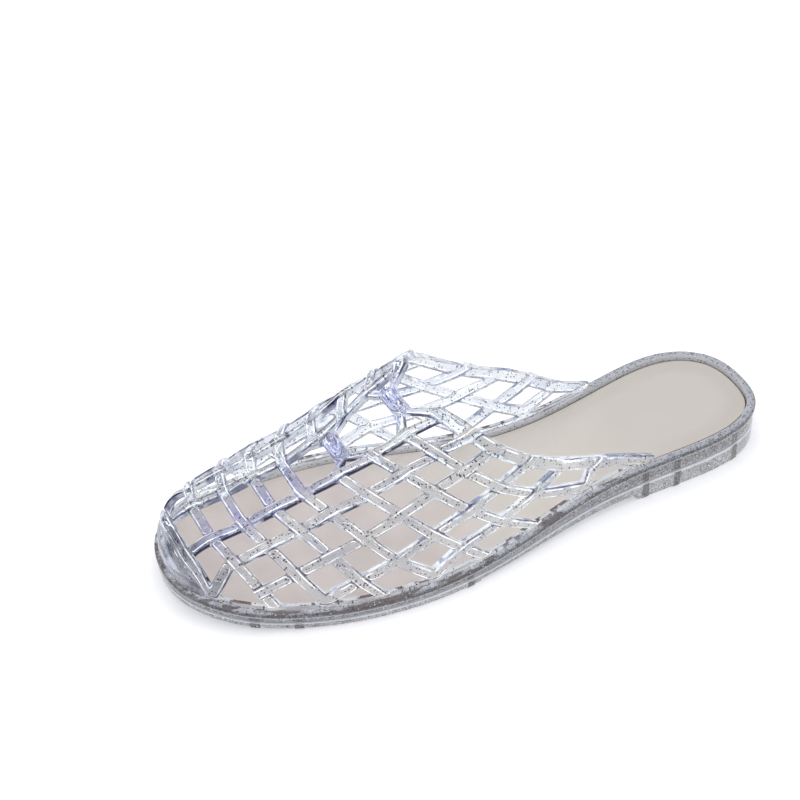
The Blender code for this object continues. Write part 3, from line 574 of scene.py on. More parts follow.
# Lower sole layer
tread = {
    "stations": 90,
    "breastStation": 0.271,
    "padStation": 0.573,
    "stepRun": 0.8,
    "breastLift": 2.8,
    "padLift": 0.9,
    "edgeRound": 0.6,
    "barStations": (0.084, 0.199, 0.257, 0.590, 0.853, 0.911),
    "barWidth": 3.0,
    "barRelief": 0.4,
    "barEdge": 0.3,
    "grooveStations": (0.055, 0.10, 0.145, 0.19, 0.235, 0.62, 0.67, 0.72, 0.77, 0.82, 0.87, 0.92),
    "grooveWidth": 2.6,
    "grooveDepth": 1.3,
    "grooveMargin": 7.0,
}


def treadHeight(x):
    breast, pad, run = stationX(tread["breastStation"]), stationX(tread["padStation"]), tread["stepRun"]
    lifts = (0, tread["breastLift"], tread["padLift"], 0)
    return np.interp(x, (breast, breast + run, pad - run, pad), lifts) + toeSpring(x)


def barRelief(x):
    near = min(abs(x - stationX(share)) for share in tread["barStations"])
    return tread["barRelief"] if near <= tread["barWidth"] / 2 + 1e-6 else 0.0


def facesBar(face):
    # the side of an upright bar, not its top or underside
    return barRelief(face.center.x / mm) > 0 and abs(face.normal.z) < 0.5


def barSteps():
    half, edge = tread["barWidth"] / 2, tread["barEdge"]
    moves = (-half - edge, -half, half, half + edge)
    return [stationX(share) + move for share in tread["barStations"] for move in moves]


def roundedLevels(stations, bottom, top, size, inset, relief, bands, steps=3):
    # levels of a side with rounded lower and upper edges
    levels = []
    for _, pull, rise in quarterRound(size, steps):
        levels.append((ringAt(stations, inset + pull, lambda x: bottom(x) + rise, relief), bands[0]))
    for _, pull, rise in reversed(quarterRound(size, steps)):
        levels.append((ringAt(stations, inset + pull, lambda x: top(x) - rise, relief), bands[1]))
    return levels


def buildTread():
    run = tread["stepRun"]
    breast, pad = stationX(tread["breastStation"]), stationX(tread["padStation"])
    steps = [breast, breast + run, pad - run, pad]
    levels = roundedLevels(
        soleStations(tread["stations"], steps + barSteps()), treadHeight,
        lambda x: layerHeight(x) - sole["seatGap"] / 2,
        tread["edgeRound"], tread["barRelief"], barRelief, (0.0, 1.0),
    )
    piece = levelledPiece("treadLayer", levels)
    cutters = []
    for share in tread["grooveStations"]:
        x = stationX(share)
        low = sidePoint(-1, x)[1] + tread["grooveMargin"]
        high = sidePoint(1, x)[1] - tread["grooveMargin"]
        floorZ = float(treadHeight(x))
        pick(piece)
        bpy.ops.mesh.primitive_cube_add(
            size=mm, location=(x * mm, (low + high) / 2 * mm, floorZ * mm),
            scale=(tread["grooveWidth"], high - low, 2 * tread["grooveDepth"]),
        )
        bpy.ops.object.transform_apply()
        cutters.append(bpy.context.object)
    pick(cutters[0])
    for cutter in cutters:
        cutter.select_set(True)
    bpy.ops.object.join()
    grooves = bpy.context.object
    applyModifier(piece, "BOOLEAN", operation="DIFFERENCE", object=grooves)
    bpy.data.objects.remove(grooves, do_unlink=True)
    dress(piece, makeSolePlastic("soleGlitter"), makeSolePlastic("soleBars"))
    for face in piece.data.polygons:
        face.material_index = 1 if facesBar(face) else 0
    settle(piece, "outsole")
    print("tread layer built")


# Upper sole layer: side wall, flange and the tray for the insole
tray = {
    "stations": 110,
    "rimWidth": 3.6,
    "rimRound": 0.9,
    "flange": 2.2,
    "recess": 0.6,
    "edgeRound": 0.6,
    "innerRound": 0.4,
    # the flange's lip: inset, height over the flange's lower edge, band
    "lip": ((0.1, 0.0, 0.70), (0.0, 0.15, 0.72), (0.0, 0.45, 0.73)),
    # the glue's line round the inside of the rim, drawn there also as painted shade at the insole's edge:
    # where it starts, from the heel's end and from the middle plane, on the outer side
    "seamStart": (14.0, 10.0),
}
insole = {"thickness": 0.9, "drop": 2.2, "edgeRound": 0.3}
# Places up the tray's profile, kept as the band attribute for the finish
trayBand = {
    "foot": 0.05, "side": 0.10, "sideTop": 0.66, "round": 0.76, "roundTurn": 0.02, "flat": 0.88,
    "innerRound": 0.92, "innerWall": 0.97, "floor": 1.0,
}


def buildTray():
    stations, seat, band = soleStations(tray["stations"], barSteps()), sole["seatGap"], trayBand
    width, drop = tray["rimWidth"], insole["drop"]
    bottom = lambda x: layerHeight(x) + seat / 2
    flangeLow = lambda x: rimHeight(x) - tray["flange"]
    sideFoot = lambda x: bottom(x) + tray["edgeRound"]
    sideTop = lambda x: flangeLow(x) - tray["recess"]
    levels = []

    def addLevel(inset, height, share):
        levels.append((ringAt(stations, inset, height), share))

    for _, pull, rise in quarterRound(tray["edgeRound"], 3):
        addLevel(tray["recess"] + pull, lambda x: bottom(x) + rise, band["foot"])
    sideRing = len(levels)
    for share in (0.25, 0.5, 0.75, 1.0):
        height = lambda x: sideFoot(x) + (sideTop(x) - sideFoot(x)) * share
        addLevel(tray["recess"], height, band["side"] + (band["sideTop"] - band["side"]) * share)
    lipRing = len(levels)
    for inset, rise, share in tray["lip"]:
        addLevel(inset, lambda x: flangeLow(x) + rise, share)
    for turn, rise, pull in quarterRound(tray["rimRound"], 4):
        addLevel(pull, lambda x: rimHeight(x) - rise, band["round"] + band["roundTurn"] * turn)
    flatRing = len(levels)
    addLevel(width - 1.4 * tray["innerRound"], rimHeight, band["flat"])
    for _, pull, rise in quarterRound(tray["innerRound"], 3):
        addLevel(width - pull, lambda x: rimHeight(x) - rise, band["innerRound"])
    addLevel(width, lambda x: rimHeight(x) - tray["innerRound"] - 0.1, band["innerWall"])
    glueRing = len(levels)
    addLevel(width, lambda x: rimHeight(x) - drop - seat, band["floor"])
    addLevel(width, lambda x: rimHeight(x) - drop - seat - insole["thickness"], band["floor"])
    piece = levelledPiece("rimTray", levels)
    dress(
        piece, makeRimPlastic(), makeRoughBrown(*insoleLook["glue"]), makeSolePlastic("rimBars"),
        makeSolePlastic("rimSide"),
    )
    ringSize = len(levels[0][0])
    seamX, seamY = heelX + tray["seamStart"][0], tray["seamStart"][1]
    for face in piece.data.polygons:
        ring, centre = face.index // ringSize, face.center / mm
        glued = ring >= glueRing and face.normal.z > -0.5
        # the glue line on the rim's inner round, which also stands for painted shade at the insole's edge
        glueShadeLine = flatRing <= ring < flatRing + 3 and centre.y > seamY and centre.x > seamX
        onBar = ring <= lipRing and facesBar(face)
        onSide = sideRing <= ring < lipRing
        face.material_index = 1 if glued or glueShadeLine else 2 if onBar else 3 if onSide else 0
    settle(piece, "midsole")
    print("rim tray built")


def buildInsole():
    stations = soleStations(tray["stations"])
    edge = tray["rimWidth"] + sole["seatGap"]
    top = lambda x: rimHeight(x) - insole["drop"]
    levels = [(ringAt(stations, edge, lambda x: top(x) - insole["thickness"]), 0.0)]
    for _, rise, pull in quarterRound(insole["edgeRound"], 3):
        levels.append((ringAt(stations, edge + pull, lambda x: top(x) - rise), 1.0))
    piece = levelledPiece("insoleSheet", levels)
    dress(piece, makeInsoleSheet(), makeRoughBrown(*insoleLook["cutEdge"]))
    for face in piece.data.polygons:
        face.material_index = 0 if abs(face.normal.z) > 0.9 else 1
    settle(piece, "insole")
    print("insole built")


# Upper: a lattice moulded over the last. Girth is the distance round the section from the crown line.
upper = {
    "wall": 2.3,
    "setback": 1.5,
    "squareness": 2.7,
    "instep": 77.0,
    # station along the length, and height of the crown line as a share of the instep height
    "crown": (
        (0.23, 1.70), (0.33, 1.49), (0.43, 1.245), (0.532, 1.00), (0.632, 0.79), (0.732, 0.585),
        (0.832, 0.452), (0.885, 0.395), (0.932, 0.362), (0.965, 0.350), (1.000, 0.340),
    ),
    "toeRound": 18.0,
    "toeSquareness": 2.3,
    "strandWidth": 4.3,
    "toplineWidth": 5.6,
    "strandRise": 0.7,       # flat top of a strand above its edges
    "weaveRise": 0.6,        # how much higher a strand stands where it passes over
    "weaveRun": 1.7,
    "footBand": 2.6,
    "rootNotch": 4.6,
    "loneRoot": 0.62,
    "sharedRoot": 0.5,
    "toplineTail": 1.9,
    "leastRootCell": 8.0,
    "sweepRound": 38.0,
    "meshStep": 3.4,
    "firstRow": 1.2,         # a strand's first row from a crossing, at most a fifth of the strand
    "footBulge": 0.25,
    "glueRise": 0.6,         # how far glue shows on the walls above the foot band
    "shadeFacing": 0.3,       # walls that face further from the crown line than this get the deep painted shade
    # cross ribs from toe to topline: station on the crown line, sweep back down the side, inner bow
    "ribs": (
        (0.972, 0.35, 0.0), (0.932, 0.58, 0.0), (0.884, 0.62, 0.0), (0.838, 0.72, 0.0), (0.794, 0.80, 0.0),
        (0.744, 0.86, 0.6), (0.697, 0.94, 1.6), (0.652, 0.98, 3.4), (0.604, 0.99, 5.6),
    ),
    "bowGirth": 78.0,
    "bowSpread": 25.0,
    "pitch": 14.5,
    # long strands outwards: pitches from the crown line, outer spread, inner spread, spread's station
    "strands": (
        (0.69, 0.160, 0.160, 0.765), (1.62, 0.130, 0.130, 0.765), (2.62, 0.045, 0.045, 0.790),
        (3.62, 0.080, 0.080, 0.770), (4.79, 0.165, 0.060, 0.612), (5.97, 0.220, 0.040, 0.512),
        (6.72, 0.330, 0.180, 0.448), (7.17, 0.350, 0.260, 0.384),
    ),
    "guardBulge": 1.0,
    "knotPairs": ((5, 6), (7, 8)),
    "knotLength": 14.0,
    "knotWaist": 5.6,
    "knotThickness": 6.4,
    "knotRise": 1.2,
    "knotSwell": 1.15,       # the turned knot's size over its bar
    "knotTaper": 0.75,       # below 1 the knot's ends are fuller
    "seamMerge": 0.08,
}
lanes = (-1.0, -0.68, 0.0, 0.68, 1.0)     # across a strand, as shares of its half width
laneLift = (0.0, 0.92, 1.0, 0.92, 0.0)
lastRib = len(upper["ribs"]) - 1

crownHeight = splineThrough([row[0] for row in upper["crown"]], [row[1] for row in upper["crown"]])
upperToeX = toeX - upper["setback"]
sectionTurns = np.linspace(0, 1, 161) ** 1.5 * math.pi / 2
setBackSides = {
    1: outerSide[:, :2] - upper["setback"] * outerSide[:, 2:],
    -1: innerSide[:, :2] - upper["setback"] * innerSide[:, 2:],
}
sections = {}


def footHeight(x):
    return float(rimHeight(x)) + sole["seatGap"]


def shellHeight(x):
    share = (x - heelX) / (toeX - heelX)
    openHeight = float(crownHeight(share)[0, 0]) * upper["instep"] - footHeight(x)
    intoToe = min(max((x - (upperToeX - upper["toeRound"])) / upper["toeRound"], 0), 1)
    power = upper["toeSquareness"]
    return openHeight * (1 - intoToe**power) ** (1 / power)


def halfSection(x, side):
    key = (round(float(x), 2), side)
    if key not in sections:
        x = key[0]
        edges = {s: float(np.interp(x, line[:, 0], line[:, 1])) for s, line in setBackSides.items()}
        centre = (edges[1] + edges[-1]) / 2
        power = 2 / upper["squareness"]
        across = centre + (edges[side] - centre) * np.sin(sectionTurns) ** power
        up = footHeight(x) + shellHeight(x) * np.cos(sectionTurns).clip(0) ** power
        sections[key] = across, up, np.r_[0, np.cumsum(np.hypot(np.diff(across), np.diff(up)))]
    return sections[key]


def girthToFoot(x, side):
    return halfSection(x, side)[2][-1]


def shellPoint(x, girth):
    x = min(x, upperToeX - 0.05)
    across, up, walked = halfSection(x, 1 if girth >= 0 else -1)
    return np.array([x, np.interp(abs(girth), walked, across), np.interp(abs(girth), walked, up)])


def shellNormal(x, girth):
    step = 0.6
    side = 1 if girth >= 0 else -1
    girth = side * min(abs(girth), girthToFoot(x, side) - step)
    along = shellPoint(x + step, girth) - shellPoint(x - step, girth)
    around = shellPoint(x, girth + step) - shellPoint(x, girth - step)
    normal = np.cross(around, along)
    normal /= np.linalg.norm(normal)
    inside = np.array([x - 6.0, 0.0, footHeight(x) - 12.0])
    return normal if normal @ (shellPoint(x, girth) - inside) > 0 else -normal


def ribX(row, girth, side):
    station, sweep, bow = upper["ribs"][row]
    bend = bow * math.exp(-(((girth - upper["bowGirth"]) / upper["bowSpread"]) ** 2)) if side < 0 else 0.0
    return stationX(station) - sweep * (math.hypot(girth, upper["sweepRound"]) - upper["sweepRound"]) - bend


def strandGirth(row, x, side):
    pitches, outerSpread, innerSpread, station = upper["strands"][row]
    spread = outerSpread if side > 0 else innerSpread
    return pitches * upper["pitch"] + spread * max(0.0, stationX(station) - x)


def ribWidth(row):
    return upper["toplineWidth"] if row == lastRib else upper["strandWidth"]


def crossingPlace(strand, rib, side):
    x = stationX(upper["ribs"][rib][0])
    for _ in range(40):
        girth = strandGirth(strand, x, side)
        x = ribX(rib, girth, side)
    return x, girth


def strandCrosses(strand, rib, side):
    x, girth = crossingPlace(strand, rib, side)
    return girthToFoot(x, side) - girth > upper["leastRootCell"]


def rootGirth(row, side):
    girth = 0.0
    while girth < girthToFoot(ribX(row, girth, side), side) - upper["footBand"]:
        girth += 0.1
    return girth


class Lattice:
    # the upper's outer sheet; each vertex also keeps where the wall's inner face lies
    def __init__(self):
        self.mesh = bmesh.new()
        self.laneLayer = self.mesh.verts.layers.float.new("lane")
        self.footLayer = self.mesh.verts.layers.float.new("foot")
        self.passLayer = self.mesh.verts.layers.float.new("pass")
        self.places, self.verts, self.backs, self.strips = {}, {}, {}, {}

    def put(self, name, point, back, lane, foot=0.0, passing=0.0):
        self.verts[name] = self.mesh.verts.new([value * mm for value in point])
        self.verts[name][self.laneLayer] = lane
        self.verts[name][self.footLayer] = foot
        self.verts[name][self.passLayer] = passing
        self.backs[name] = [value * mm for value in back]
        return name

    def add(self, name, x, girth, lift=0.0, lane=0.0, passing=0.0):
        # kept for the finish, which draws its painted highlight and painted dark edge lines from them: lane
        # is 0 on a strand's middle line and 1 at its edges, and passing is 1 where a strand goes under the
        # edge of another
        if name not in self.verts:
            point, normal = shellPoint(x, girth), shellNormal(x, girth)
            self.places[name] = (x, girth)
            self.put(name, point + lift * normal, point - upper["wall"] * normal, lane, 0.0, passing)
        return name

    def addPoint(self, name, point, outward, lane=0.0, foot=0.0):
        if name not in self.verts:
            self.places[name] = None
            self.put(name, point, point - upper["wall"] * outward, lane, foot)
        return name

    def face(self, *names):
        self.mesh.faces.new([self.verts[name] for name in names])

    def spot(self, name):
        return np.array(self.verts[name].co) / mm

    def ladder(self, rows):
        for row, following in zip(rows, rows[1:]):
            for lane in range(len(row) - 1):
                self.face(row[lane], row[lane + 1], following[lane + 1], following[lane])

    def strip(self, tag, start, end, liftStart, liftEnd):
        # a strand between two ends, each given as the names of its five lanes
        length = (self.verts[start[2]].co - self.verts[end[2]].co).length / mm
        pieces = max(3, round(length / upper["meshStep"]))
        near = min(upper["firstRow"] / length, 0.2)
        shares = [near, *(number / pieces for number in range(1, pieces)), 1 - near]
        ends = [[self.places[name] for name in (row[0], row[4])] for row in (start, end)]
        rows = [start]
        for number, share in enumerate(shares):
            corners = [np.array(ends[0][k]) * (1 - share) + np.array(ends[1][k]) * share for k in (0, 1)]
            lift = upper["strandRise"]
            lift += (liftStart - upper["strandRise"]) * math.exp(-share * length / upper["weaveRun"])
            lift += (liftEnd - upper["strandRise"]) * math.exp(-(1 - share) * length / upper["weaveRun"])
            row = []
            for lane in range(5):
                across = (lanes[lane] + 1) / 2
                place = corners[0] * (1 - across) + corners[1] * across
                row.append(self.add((tag, number, lane), *place, lift * laneLift[lane], abs(lanes[lane])))
            rows.append(row)
        rows.append(end)
        self.strips[tag] = rows
        self.ladder(rows)

    def closedPiece(self, name):
        # the inner face, and walls along every open edge
        outer = list(self.mesh.faces)
        rims = [edge for edge in self.mesh.edges if len(edge.link_faces) == 1]
        backs = {self.verts[key]: self.mesh.verts.new(self.backs[key]) for key in self.verts}
        for face in outer:
            self.mesh.faces.new([backs[vert] for vert in reversed(face.verts)])
        for edge in rims:
            first, second = edge.verts
            wall = self.mesh.faces.new((first, second, backs[second], backs[first]))
            wall.material_index = 1
        bmesh.ops.recalc_face_normals(self.mesh, faces=self.mesh.faces)
        rise = upper["footBand"] + upper["glueRise"]
        # walls by the foot band get glue; walls that face away from the crown line get the deep painted
        # shade, the others the pale one
        for wall in (face for face in self.mesh.faces if face.material_index):
            centre = wall.calc_center_median() / mm
            facing = wall.normal.y * math.copysign(1.0, centre.y)
            if centre.z < footHeight(centre.x) + rise:
                wall.material_index = 3
            elif facing > upper["shadeFacing"]:
                wall.material_index = 2
        return pieceFrom(name, self.mesh)


def millimetreStep(x, girth, alongRib, rib):
    # change of (x, girth) for one millimetre along the rib, or along the long strand
    side = 1 if girth >= 0 else -1
    if alongRib:
        ahead, behind = (ribX(rib, abs(girth) + move, side) for move in (0.5, -0.5))
        change = np.array([ahead - behind, side * 1.0])
    else:
        change = np.array([1.0, 0.0])
    place = np.array([x, girth])
    walked = shellPoint(*(place + change / 2)) - shellPoint(*(place - change / 2))
    return change / np.linalg.norm(walked), walked / np.linalg.norm(walked)


def overLift():
    return upper["strandRise"] + upper["weaveRise"]


def endLift(over):
    return overLift() if over else 0.0


def ribOver(strand, rib):
    return (strand + rib) % 2 == 0


def buildCrossing(lattice, side, strand, rib):
    x, girth = crossingPlace(strand, rib, side)
    girth *= side
    down, downWay = millimetreStep(x, girth, True, rib)
    fore, foreWay = millimetreStep(x, girth, False, rib)
    slant = math.sqrt(max(0.2, 1 - float(downWay @ foreWay) ** 2))
    halfDown, halfFore = upper["strandWidth"] / 2 / slant, ribWidth(rib) / 2 / slant
    for across in range(5):
        for ahead in range(5):
            place = np.array([x, girth]) + down * lanes[across] * halfDown + fore * lanes[ahead] * halfFore
            lane = ahead if ribOver(strand, rib) else across
            name = (side, strand, rib, across, ahead)
            passing = 1.0 if lane in (0, 4) else 0.0
            lattice.add(name, *place, laneLift[lane] * overLift(), abs(lanes[lane]), passing)
    rows = [[(side, strand, rib, across, ahead) for ahead in range(5)] for across in range(5)]
    lattice.ladder(rows)


def downEnd(side, strand, rib, end):
    # a crossing's five vertices on its crown side (0) or foot side (4)
    return [(side, strand, rib, end, ahead) for ahead in range(5)]


def foreEnd(side, strand, rib, end):
    # a crossing's five vertices on its heel side (0) or toe side (4)
    return [(side, strand, rib, across, end) for across in range(5)]


def makeFootPath():
    line = np.vstack([setBackSides[1], setBackSides[-1][::-1]])
    walked = np.r_[0, np.cumsum(np.linalg.norm(np.diff(line, axis=0), axis=1))]
    kept = np.r_[True, np.diff(walked) > 1e-6]
    return line[kept], walked[kept]


footLine, footWalked = makeFootPath()


def footDistance(side, x):
    tip = int(np.argmax(footLine[:, 0]))
    part = slice(0, tip + 1) if side > 0 else slice(tip, None)
    order = 1 if side > 0 else -1
    return float(np.interp(x, footLine[part, 0][::order], footWalked[part][::order]))


def footSpot(distance):
    x, y = (np.interp(distance, footWalked, footLine[:, axis]) for axis in (0, 1))
    return np.array([x, y, footHeight(x)])


def footOutward(distance):
    along = footSpot(distance + 0.5) - footSpot(distance - 0.5)
    return np.array([-along[1], along[0], 0.0]) / np.hypot(along[0], along[1])


def placeStops(lattice, stops):
    for distance, name in stops:
        point, outward = footSpot(distance), footOutward(distance)
        lattice.addPoint((name, "low"), point, outward, foot=1.0)
        middle = point + np.array([0, 0, upper["footBand"] / 2]) + upper["footBulge"] * outward
        lattice.addPoint((name, "middle"), middle, outward, foot=0.8)
        edge = 1.0 if name[1] == "root" else 0.0
        lattice.addPoint((name, "top"), point + np.array([0, 0, upper["footBand"]]), outward, edge)


def buildFootBand(lattice, stops):
    stops = sorted(stops, key=lambda stop: stop[0])
    fills = []
    for (distance, name), (after, afterName) in zip(stops, stops[1:]):
        pieces = 0 if name[:3] == afterName[:3] else int((after - distance) // upper["meshStep"])
        for number in range(1, pieces + 1):
            fills.append((distance + (after - distance) * number / (pieces + 1), ("fill", name, number)))
    placeStops(lattice, fills)
    rows = sorted(stops + fills, key=lambda stop: stop[0])
    lattice.ladder([[(name, "low"), (name, "middle"), (name, "top")] for _, name in rows])


def rootStrand(crossed, side, rib):
    # the strand that ends at this rib's root: it crosses the next rib but not this one
    if rib == lastRib:
        return None
    new = [strand for strand in crossed[side, rib + 1] if strand not in crossed[side, rib]]
    return new[0] if new else None


def rowBetween(lattice, tag, first, last, liftTop):
    # three vertices between two that exist, with a strand's profile
    names = [first]
    start, end = (np.array(lattice.places[name]) for name in (first, last))
    for lane in (1, 2, 3):
        across = (lanes[lane] + 1) / 2
        place = start * (1 - across) + end * across
        names.append(lattice.add((tag, lane), *place, liftTop * laneLift[lane], abs(lanes[lane])))
    return [*names, last]


def buildRoot(lattice, side, rib, crossed, x):
    strands = crossed[side, rib]
    toe, heel = (((side, "root", rib, end), "top") for end in ("toe", "heel"))
    for name in (toe, heel):
        cornerX = lattice.verts[name].co.x / mm
        lattice.places[name] = (cornerX, side * (girthToFoot(cornerX, side) - upper["footBand"]))
    rise = upper["strandRise"]
    last = strands[-1]
    startLift = endLift(ribOver(last, rib))
    new = rootStrand(crossed, side, rib)
    if new is None:
        row = rowBetween(lattice, ("rootRow", side, rib), heel, toe, rise)
        lattice.strip((side, "rootRib", rib), downEnd(side, last, rib, 4), row, startLift, rise)
        lattice.face(row[1], row[2], row[3])
        lattice.face(heel, row[1], row[3], toe)
        return
    girth = girthToFoot(x, side) - upper["footBand"]
    notch = lattice.add((side, "root", rib, "notch"), x, side * (girth - upper["rootNotch"]), lane=1.0)
    toeRow = rowBetween(lattice, ("toeRow", side, rib), notch, toe, rise)
    heelRow = rowBetween(lattice, ("heelRow", side, rib), notch, heel, rise)
    lattice.strip((side, "rootRib", rib), downEnd(side, last, rib, 4), toeRow, startLift, rise)
    startLift = endLift(not ribOver(new, rib + 1))
    lattice.strip((side, "rootStrand", rib), foreEnd(side, new, rib + 1, 4), heelRow, startLift, rise)
    lattice.face(notch, toeRow[1], heelRow[1])
    for lane in (1, 2, 3):
        lattice.face(heelRow[lane], toeRow[lane], toeRow[lane + 1], heelRow[lane + 1])


def buildToeGuard(lattice, crossed, distances):
    corners = [(side, "root", 0, "toe") for side in (1, -1)]

    def frontEdge(side):
        names = []
        for strand in crossed[side, 0]:
            names += [(side, strand, 0, across, 4) for across in range(5)]
            if strand != crossed[side, 0][-1]:
                names += [row[4] for row in lattice.strips[side, "rib", 0, strand][1:-1]]
        return names + [row[4] for row in lattice.strips[side, "rootRib", 0][1:-1]]

    crown = [row[4] for row in lattice.strips["crown", 0][1:-1]]
    edge = frontEdge(1)[::-1] + crown + frontEdge(-1)
    chain = [(corners[0], "top"), *edge, (corners[1], "top")]
    steps = [np.linalg.norm(lattice.spot(a) - lattice.spot(b)) for a, b in zip(chain, chain[1:])]
    shares = np.cumsum(steps)[:-1] / sum(steps)
    start, end = (distances[corner] for corner in corners)
    stops, columns = [], []
    for number, (name, share) in enumerate(zip(edge, shares)):
        distance = start + (end - start) * share
        stop = (distance, ("guard", number))
        stops.append(stop)
        placeStops(lattice, [stop])
        top, low = lattice.spot(name), lattice.spot((stop[1], "top"))
        outward = footOutward(distance)
        column = [name]
        for step in (1, 2, 3):
            part = step / 4
            bulge = upper["guardBulge"] * math.sqrt(math.sin(math.pi * share)) * math.sin(math.pi * part)
            point = top * (1 - part) + low * part + outward * bulge
            column.append(lattice.addPoint(("guard", number, step), point, outward))
        columns.append([*column, (stop[1], "top")])
    lattice.ladder(columns)
    for corner, column in ((chain[0], columns[0]), (chain[-1], columns[-1])):
        for upperName, lowerName in zip(column, column[1:]):
            lattice.face(corner, upperName, lowerName)
    return stops


def knotX(pair):
    return sum(stationX(upper["ribs"][rib][0]) for rib in pair) / 2


def buildKnotBar(lattice, pair):
    # the two ribs run together as one bar over the crown line; its profile gives each vertex's place as
    # a share of the half width, and its share of the strands' rise
    toeRib, heelRib = pair
    x, rise = knotX(pair), upper["strandRise"]
    profile = ((-1, 0), (-0.86, 1), (-0.5, 1), (-0.14, 1), (0, 0.6), (0.14, 1), (0.5, 1), (0.86, 1), (1, 0))
    rows = {}
    for end in (1, 0, -1):
        girth = end * upper["knotLength"] / 2
        rows[end] = [
            lattice.add(("knot", pair, end, lane), x + share * upper["knotWaist"] / 2, girth, lift * rise)
            for lane, (share, lift) in enumerate(profile)
        ]
    for side in (1, -1):
        for rib, arm in ((heelRib, rows[side][:5]), (toeRib, rows[side][4:])):
            lattice.strip(("arm", rib, side), downEnd(side, 0, rib, 0), arm, endLift(ribOver(0, rib)), rise)
    lattice.ladder([rows[1], rows[0], rows[-1]])


def joinKnot(piece, pair):
    x = knotX(pair)
    centre, swell = shellPoint(x, 0.0) + upper["knotRise"] * shellNormal(x, 0.0), upper["knotSwell"]
    pick(piece)
    bpy.ops.mesh.primitive_uv_sphere_add(segments=32, ring_count=24, radius=0.5, location=(0, 0, 0))
    knot = bpy.context.object
    for vert in knot.data.vertices:
        across = math.copysign(abs(vert.co.z * 2) ** upper["knotTaper"], vert.co.z) / 2
        place = np.array([
            vert.co.x * upper["knotWaist"] * swell, across * upper["knotLength"] * swell,
            vert.co.y * upper["knotThickness"],
        ])
        vert.co = Vector((centre + place) * mm)
    pick(knot)
    bpy.ops.object.mode_set(mode="EDIT")
    bpy.ops.mesh.select_all(action="SELECT")
    bpy.ops.mesh.normals_make_consistent(inside=False)
    bpy.ops.object.mode_set(mode="OBJECT")
    applyModifier(piece, "BOOLEAN", operation="UNION", object=knot)
    applyModifier(piece, "WELD", merge_threshold=upper["seamMerge"] * mm)
    bpy.data.objects.remove(knot, do_unlink=True)


def buildUpper():
    lattice = Lattice()
    crossed = {}
    for side in (1, -1):
        for rib in range(lastRib + 1):
            crossed[side, rib] = [s for s in range(len(upper["strands"])) if strandCrosses(s, rib, side)]
            for strand in crossed[side, rib]:
                buildCrossing(lattice, side, strand, rib)
    for (side, rib), strands in crossed.items():
        for strand, outer in zip(strands, strands[1:]):
            lattice.strip(
                (side, "rib", rib, strand), downEnd(side, strand, rib, 4), downEnd(side, outer, rib, 0),
                endLift(ribOver(strand, rib)), endLift(ribOver(outer, rib)),
            )
        for strand in strands:
            if rib < lastRib and strand in crossed[side, rib + 1]:
                lattice.strip(
                    (side, "strand", rib, strand), foreEnd(side, strand, rib, 0),
                    foreEnd(side, strand, rib + 1, 4),
                    endLift(not ribOver(strand, rib)), endLift(not ribOver(strand, rib + 1)),
                )
    knotted = {rib for pair in upper["knotPairs"] for rib in pair}
    for rib in range(lastRib + 1):
        if rib not in knotted:
            lift = endLift(ribOver(0, rib))
            lattice.strip(("crown", rib), downEnd(1, 0, rib, 0), downEnd(-1, 0, rib, 0), lift, lift)
    for pair in upper["knotPairs"]:
        buildKnotBar(lattice, pair)

    roots, stops = {}, []
    for side, rib in crossed:
        x = ribX(rib, rootGirth(rib, side), side)
        alone = rootStrand(crossed, side, rib) is None
        reach = ribWidth(rib) * upper["loneRoot" if alone else "sharedRoot"]
        tail = upper["toplineTail"] if rib == lastRib else 1.0
        roots[side, rib] = x
        centre = footDistance(side, x)
        stops.append((centre - side * reach * tail, (side, "root", rib, "heel")))
        stops.append((centre + side * reach, (side, "root", rib, "toe")))
    placeStops(lattice, stops)
    for (side, rib), x in roots.items():
        buildRoot(lattice, side, rib, crossed, x)
    stops += buildToeGuard(lattice, crossed, {name: distance for distance, name in stops})
    buildFootBand(lattice, stops)

    piece = lattice.closedPiece("latticeUpper")
    dress(piece, makeUpperPlastic(), *(makeUpperWall(*wall) for wall in upperLook["walls"]))
    applyModifier(piece, "SUBSURF", levels=1, render_levels=1)
    for pair in upper["knotPairs"]:
        joinKnot(piece, pair)
    # the upper casts no shadow; the insole's forefoot has a painted shadow in its place
    piece.visible_shadow = False
    settle(piece, "upper", 50)
    print("upper built:", len(piece.data.polygons), "faces")


# Studio: pale floor, soft light, and the camera at the photo's own angle to the shoe
studio = {
    "floorSize": 10.0,
    "floorColour": (0.93, 0.93, 0.935),
    "floorGlow": 0.32,
    "backdrop": (0.93, 0.93, 0.94),
    # the room round the shoe from the horizon up: height of the ray's direction, and its light
    "room": (
        (0.00, (0.02, 0.022, 0.07)), (0.20, (0.03, 0.035, 0.09)), (0.215, (5.0, 5.0, 5.2)),
        (0.255, (5.0, 5.0, 5.2)), (0.27, (0.05, 0.055, 0.11)), (0.50, (0.10, 0.11, 0.17)),
        (0.785, (0.35, 0.36, 0.40)), (0.80, (3.6, 3.6, 3.7)), (0.822, (3.6, 3.6, 3.7)),
        (0.837, (0.4, 0.4, 0.42)), (1.00, (0.5, 0.5, 0.52)),
    ),
    # name, place and aim in metres, width and height in metres, power in watts
    "lights": (
        ("overheadBox", (-0.05, -0.25, 1.15), (0.0, 0.0, 0.02), (0.95, 0.95), 3.6),
        ("overheadStrip", (0.0, 0.10, 1.00), (0.0, 0.0, 0.02), (1.20, 0.04), 1.0),
    ),
}
viewpoint = {
    "location": (0.25190, 0.47684, 0.48011),
    "azimuth": 64.93,       # degrees, from the toe's direction towards the outer side
    "elevation": 38.6,
    "roll": -1.76,
    "lens": 82.66,
}


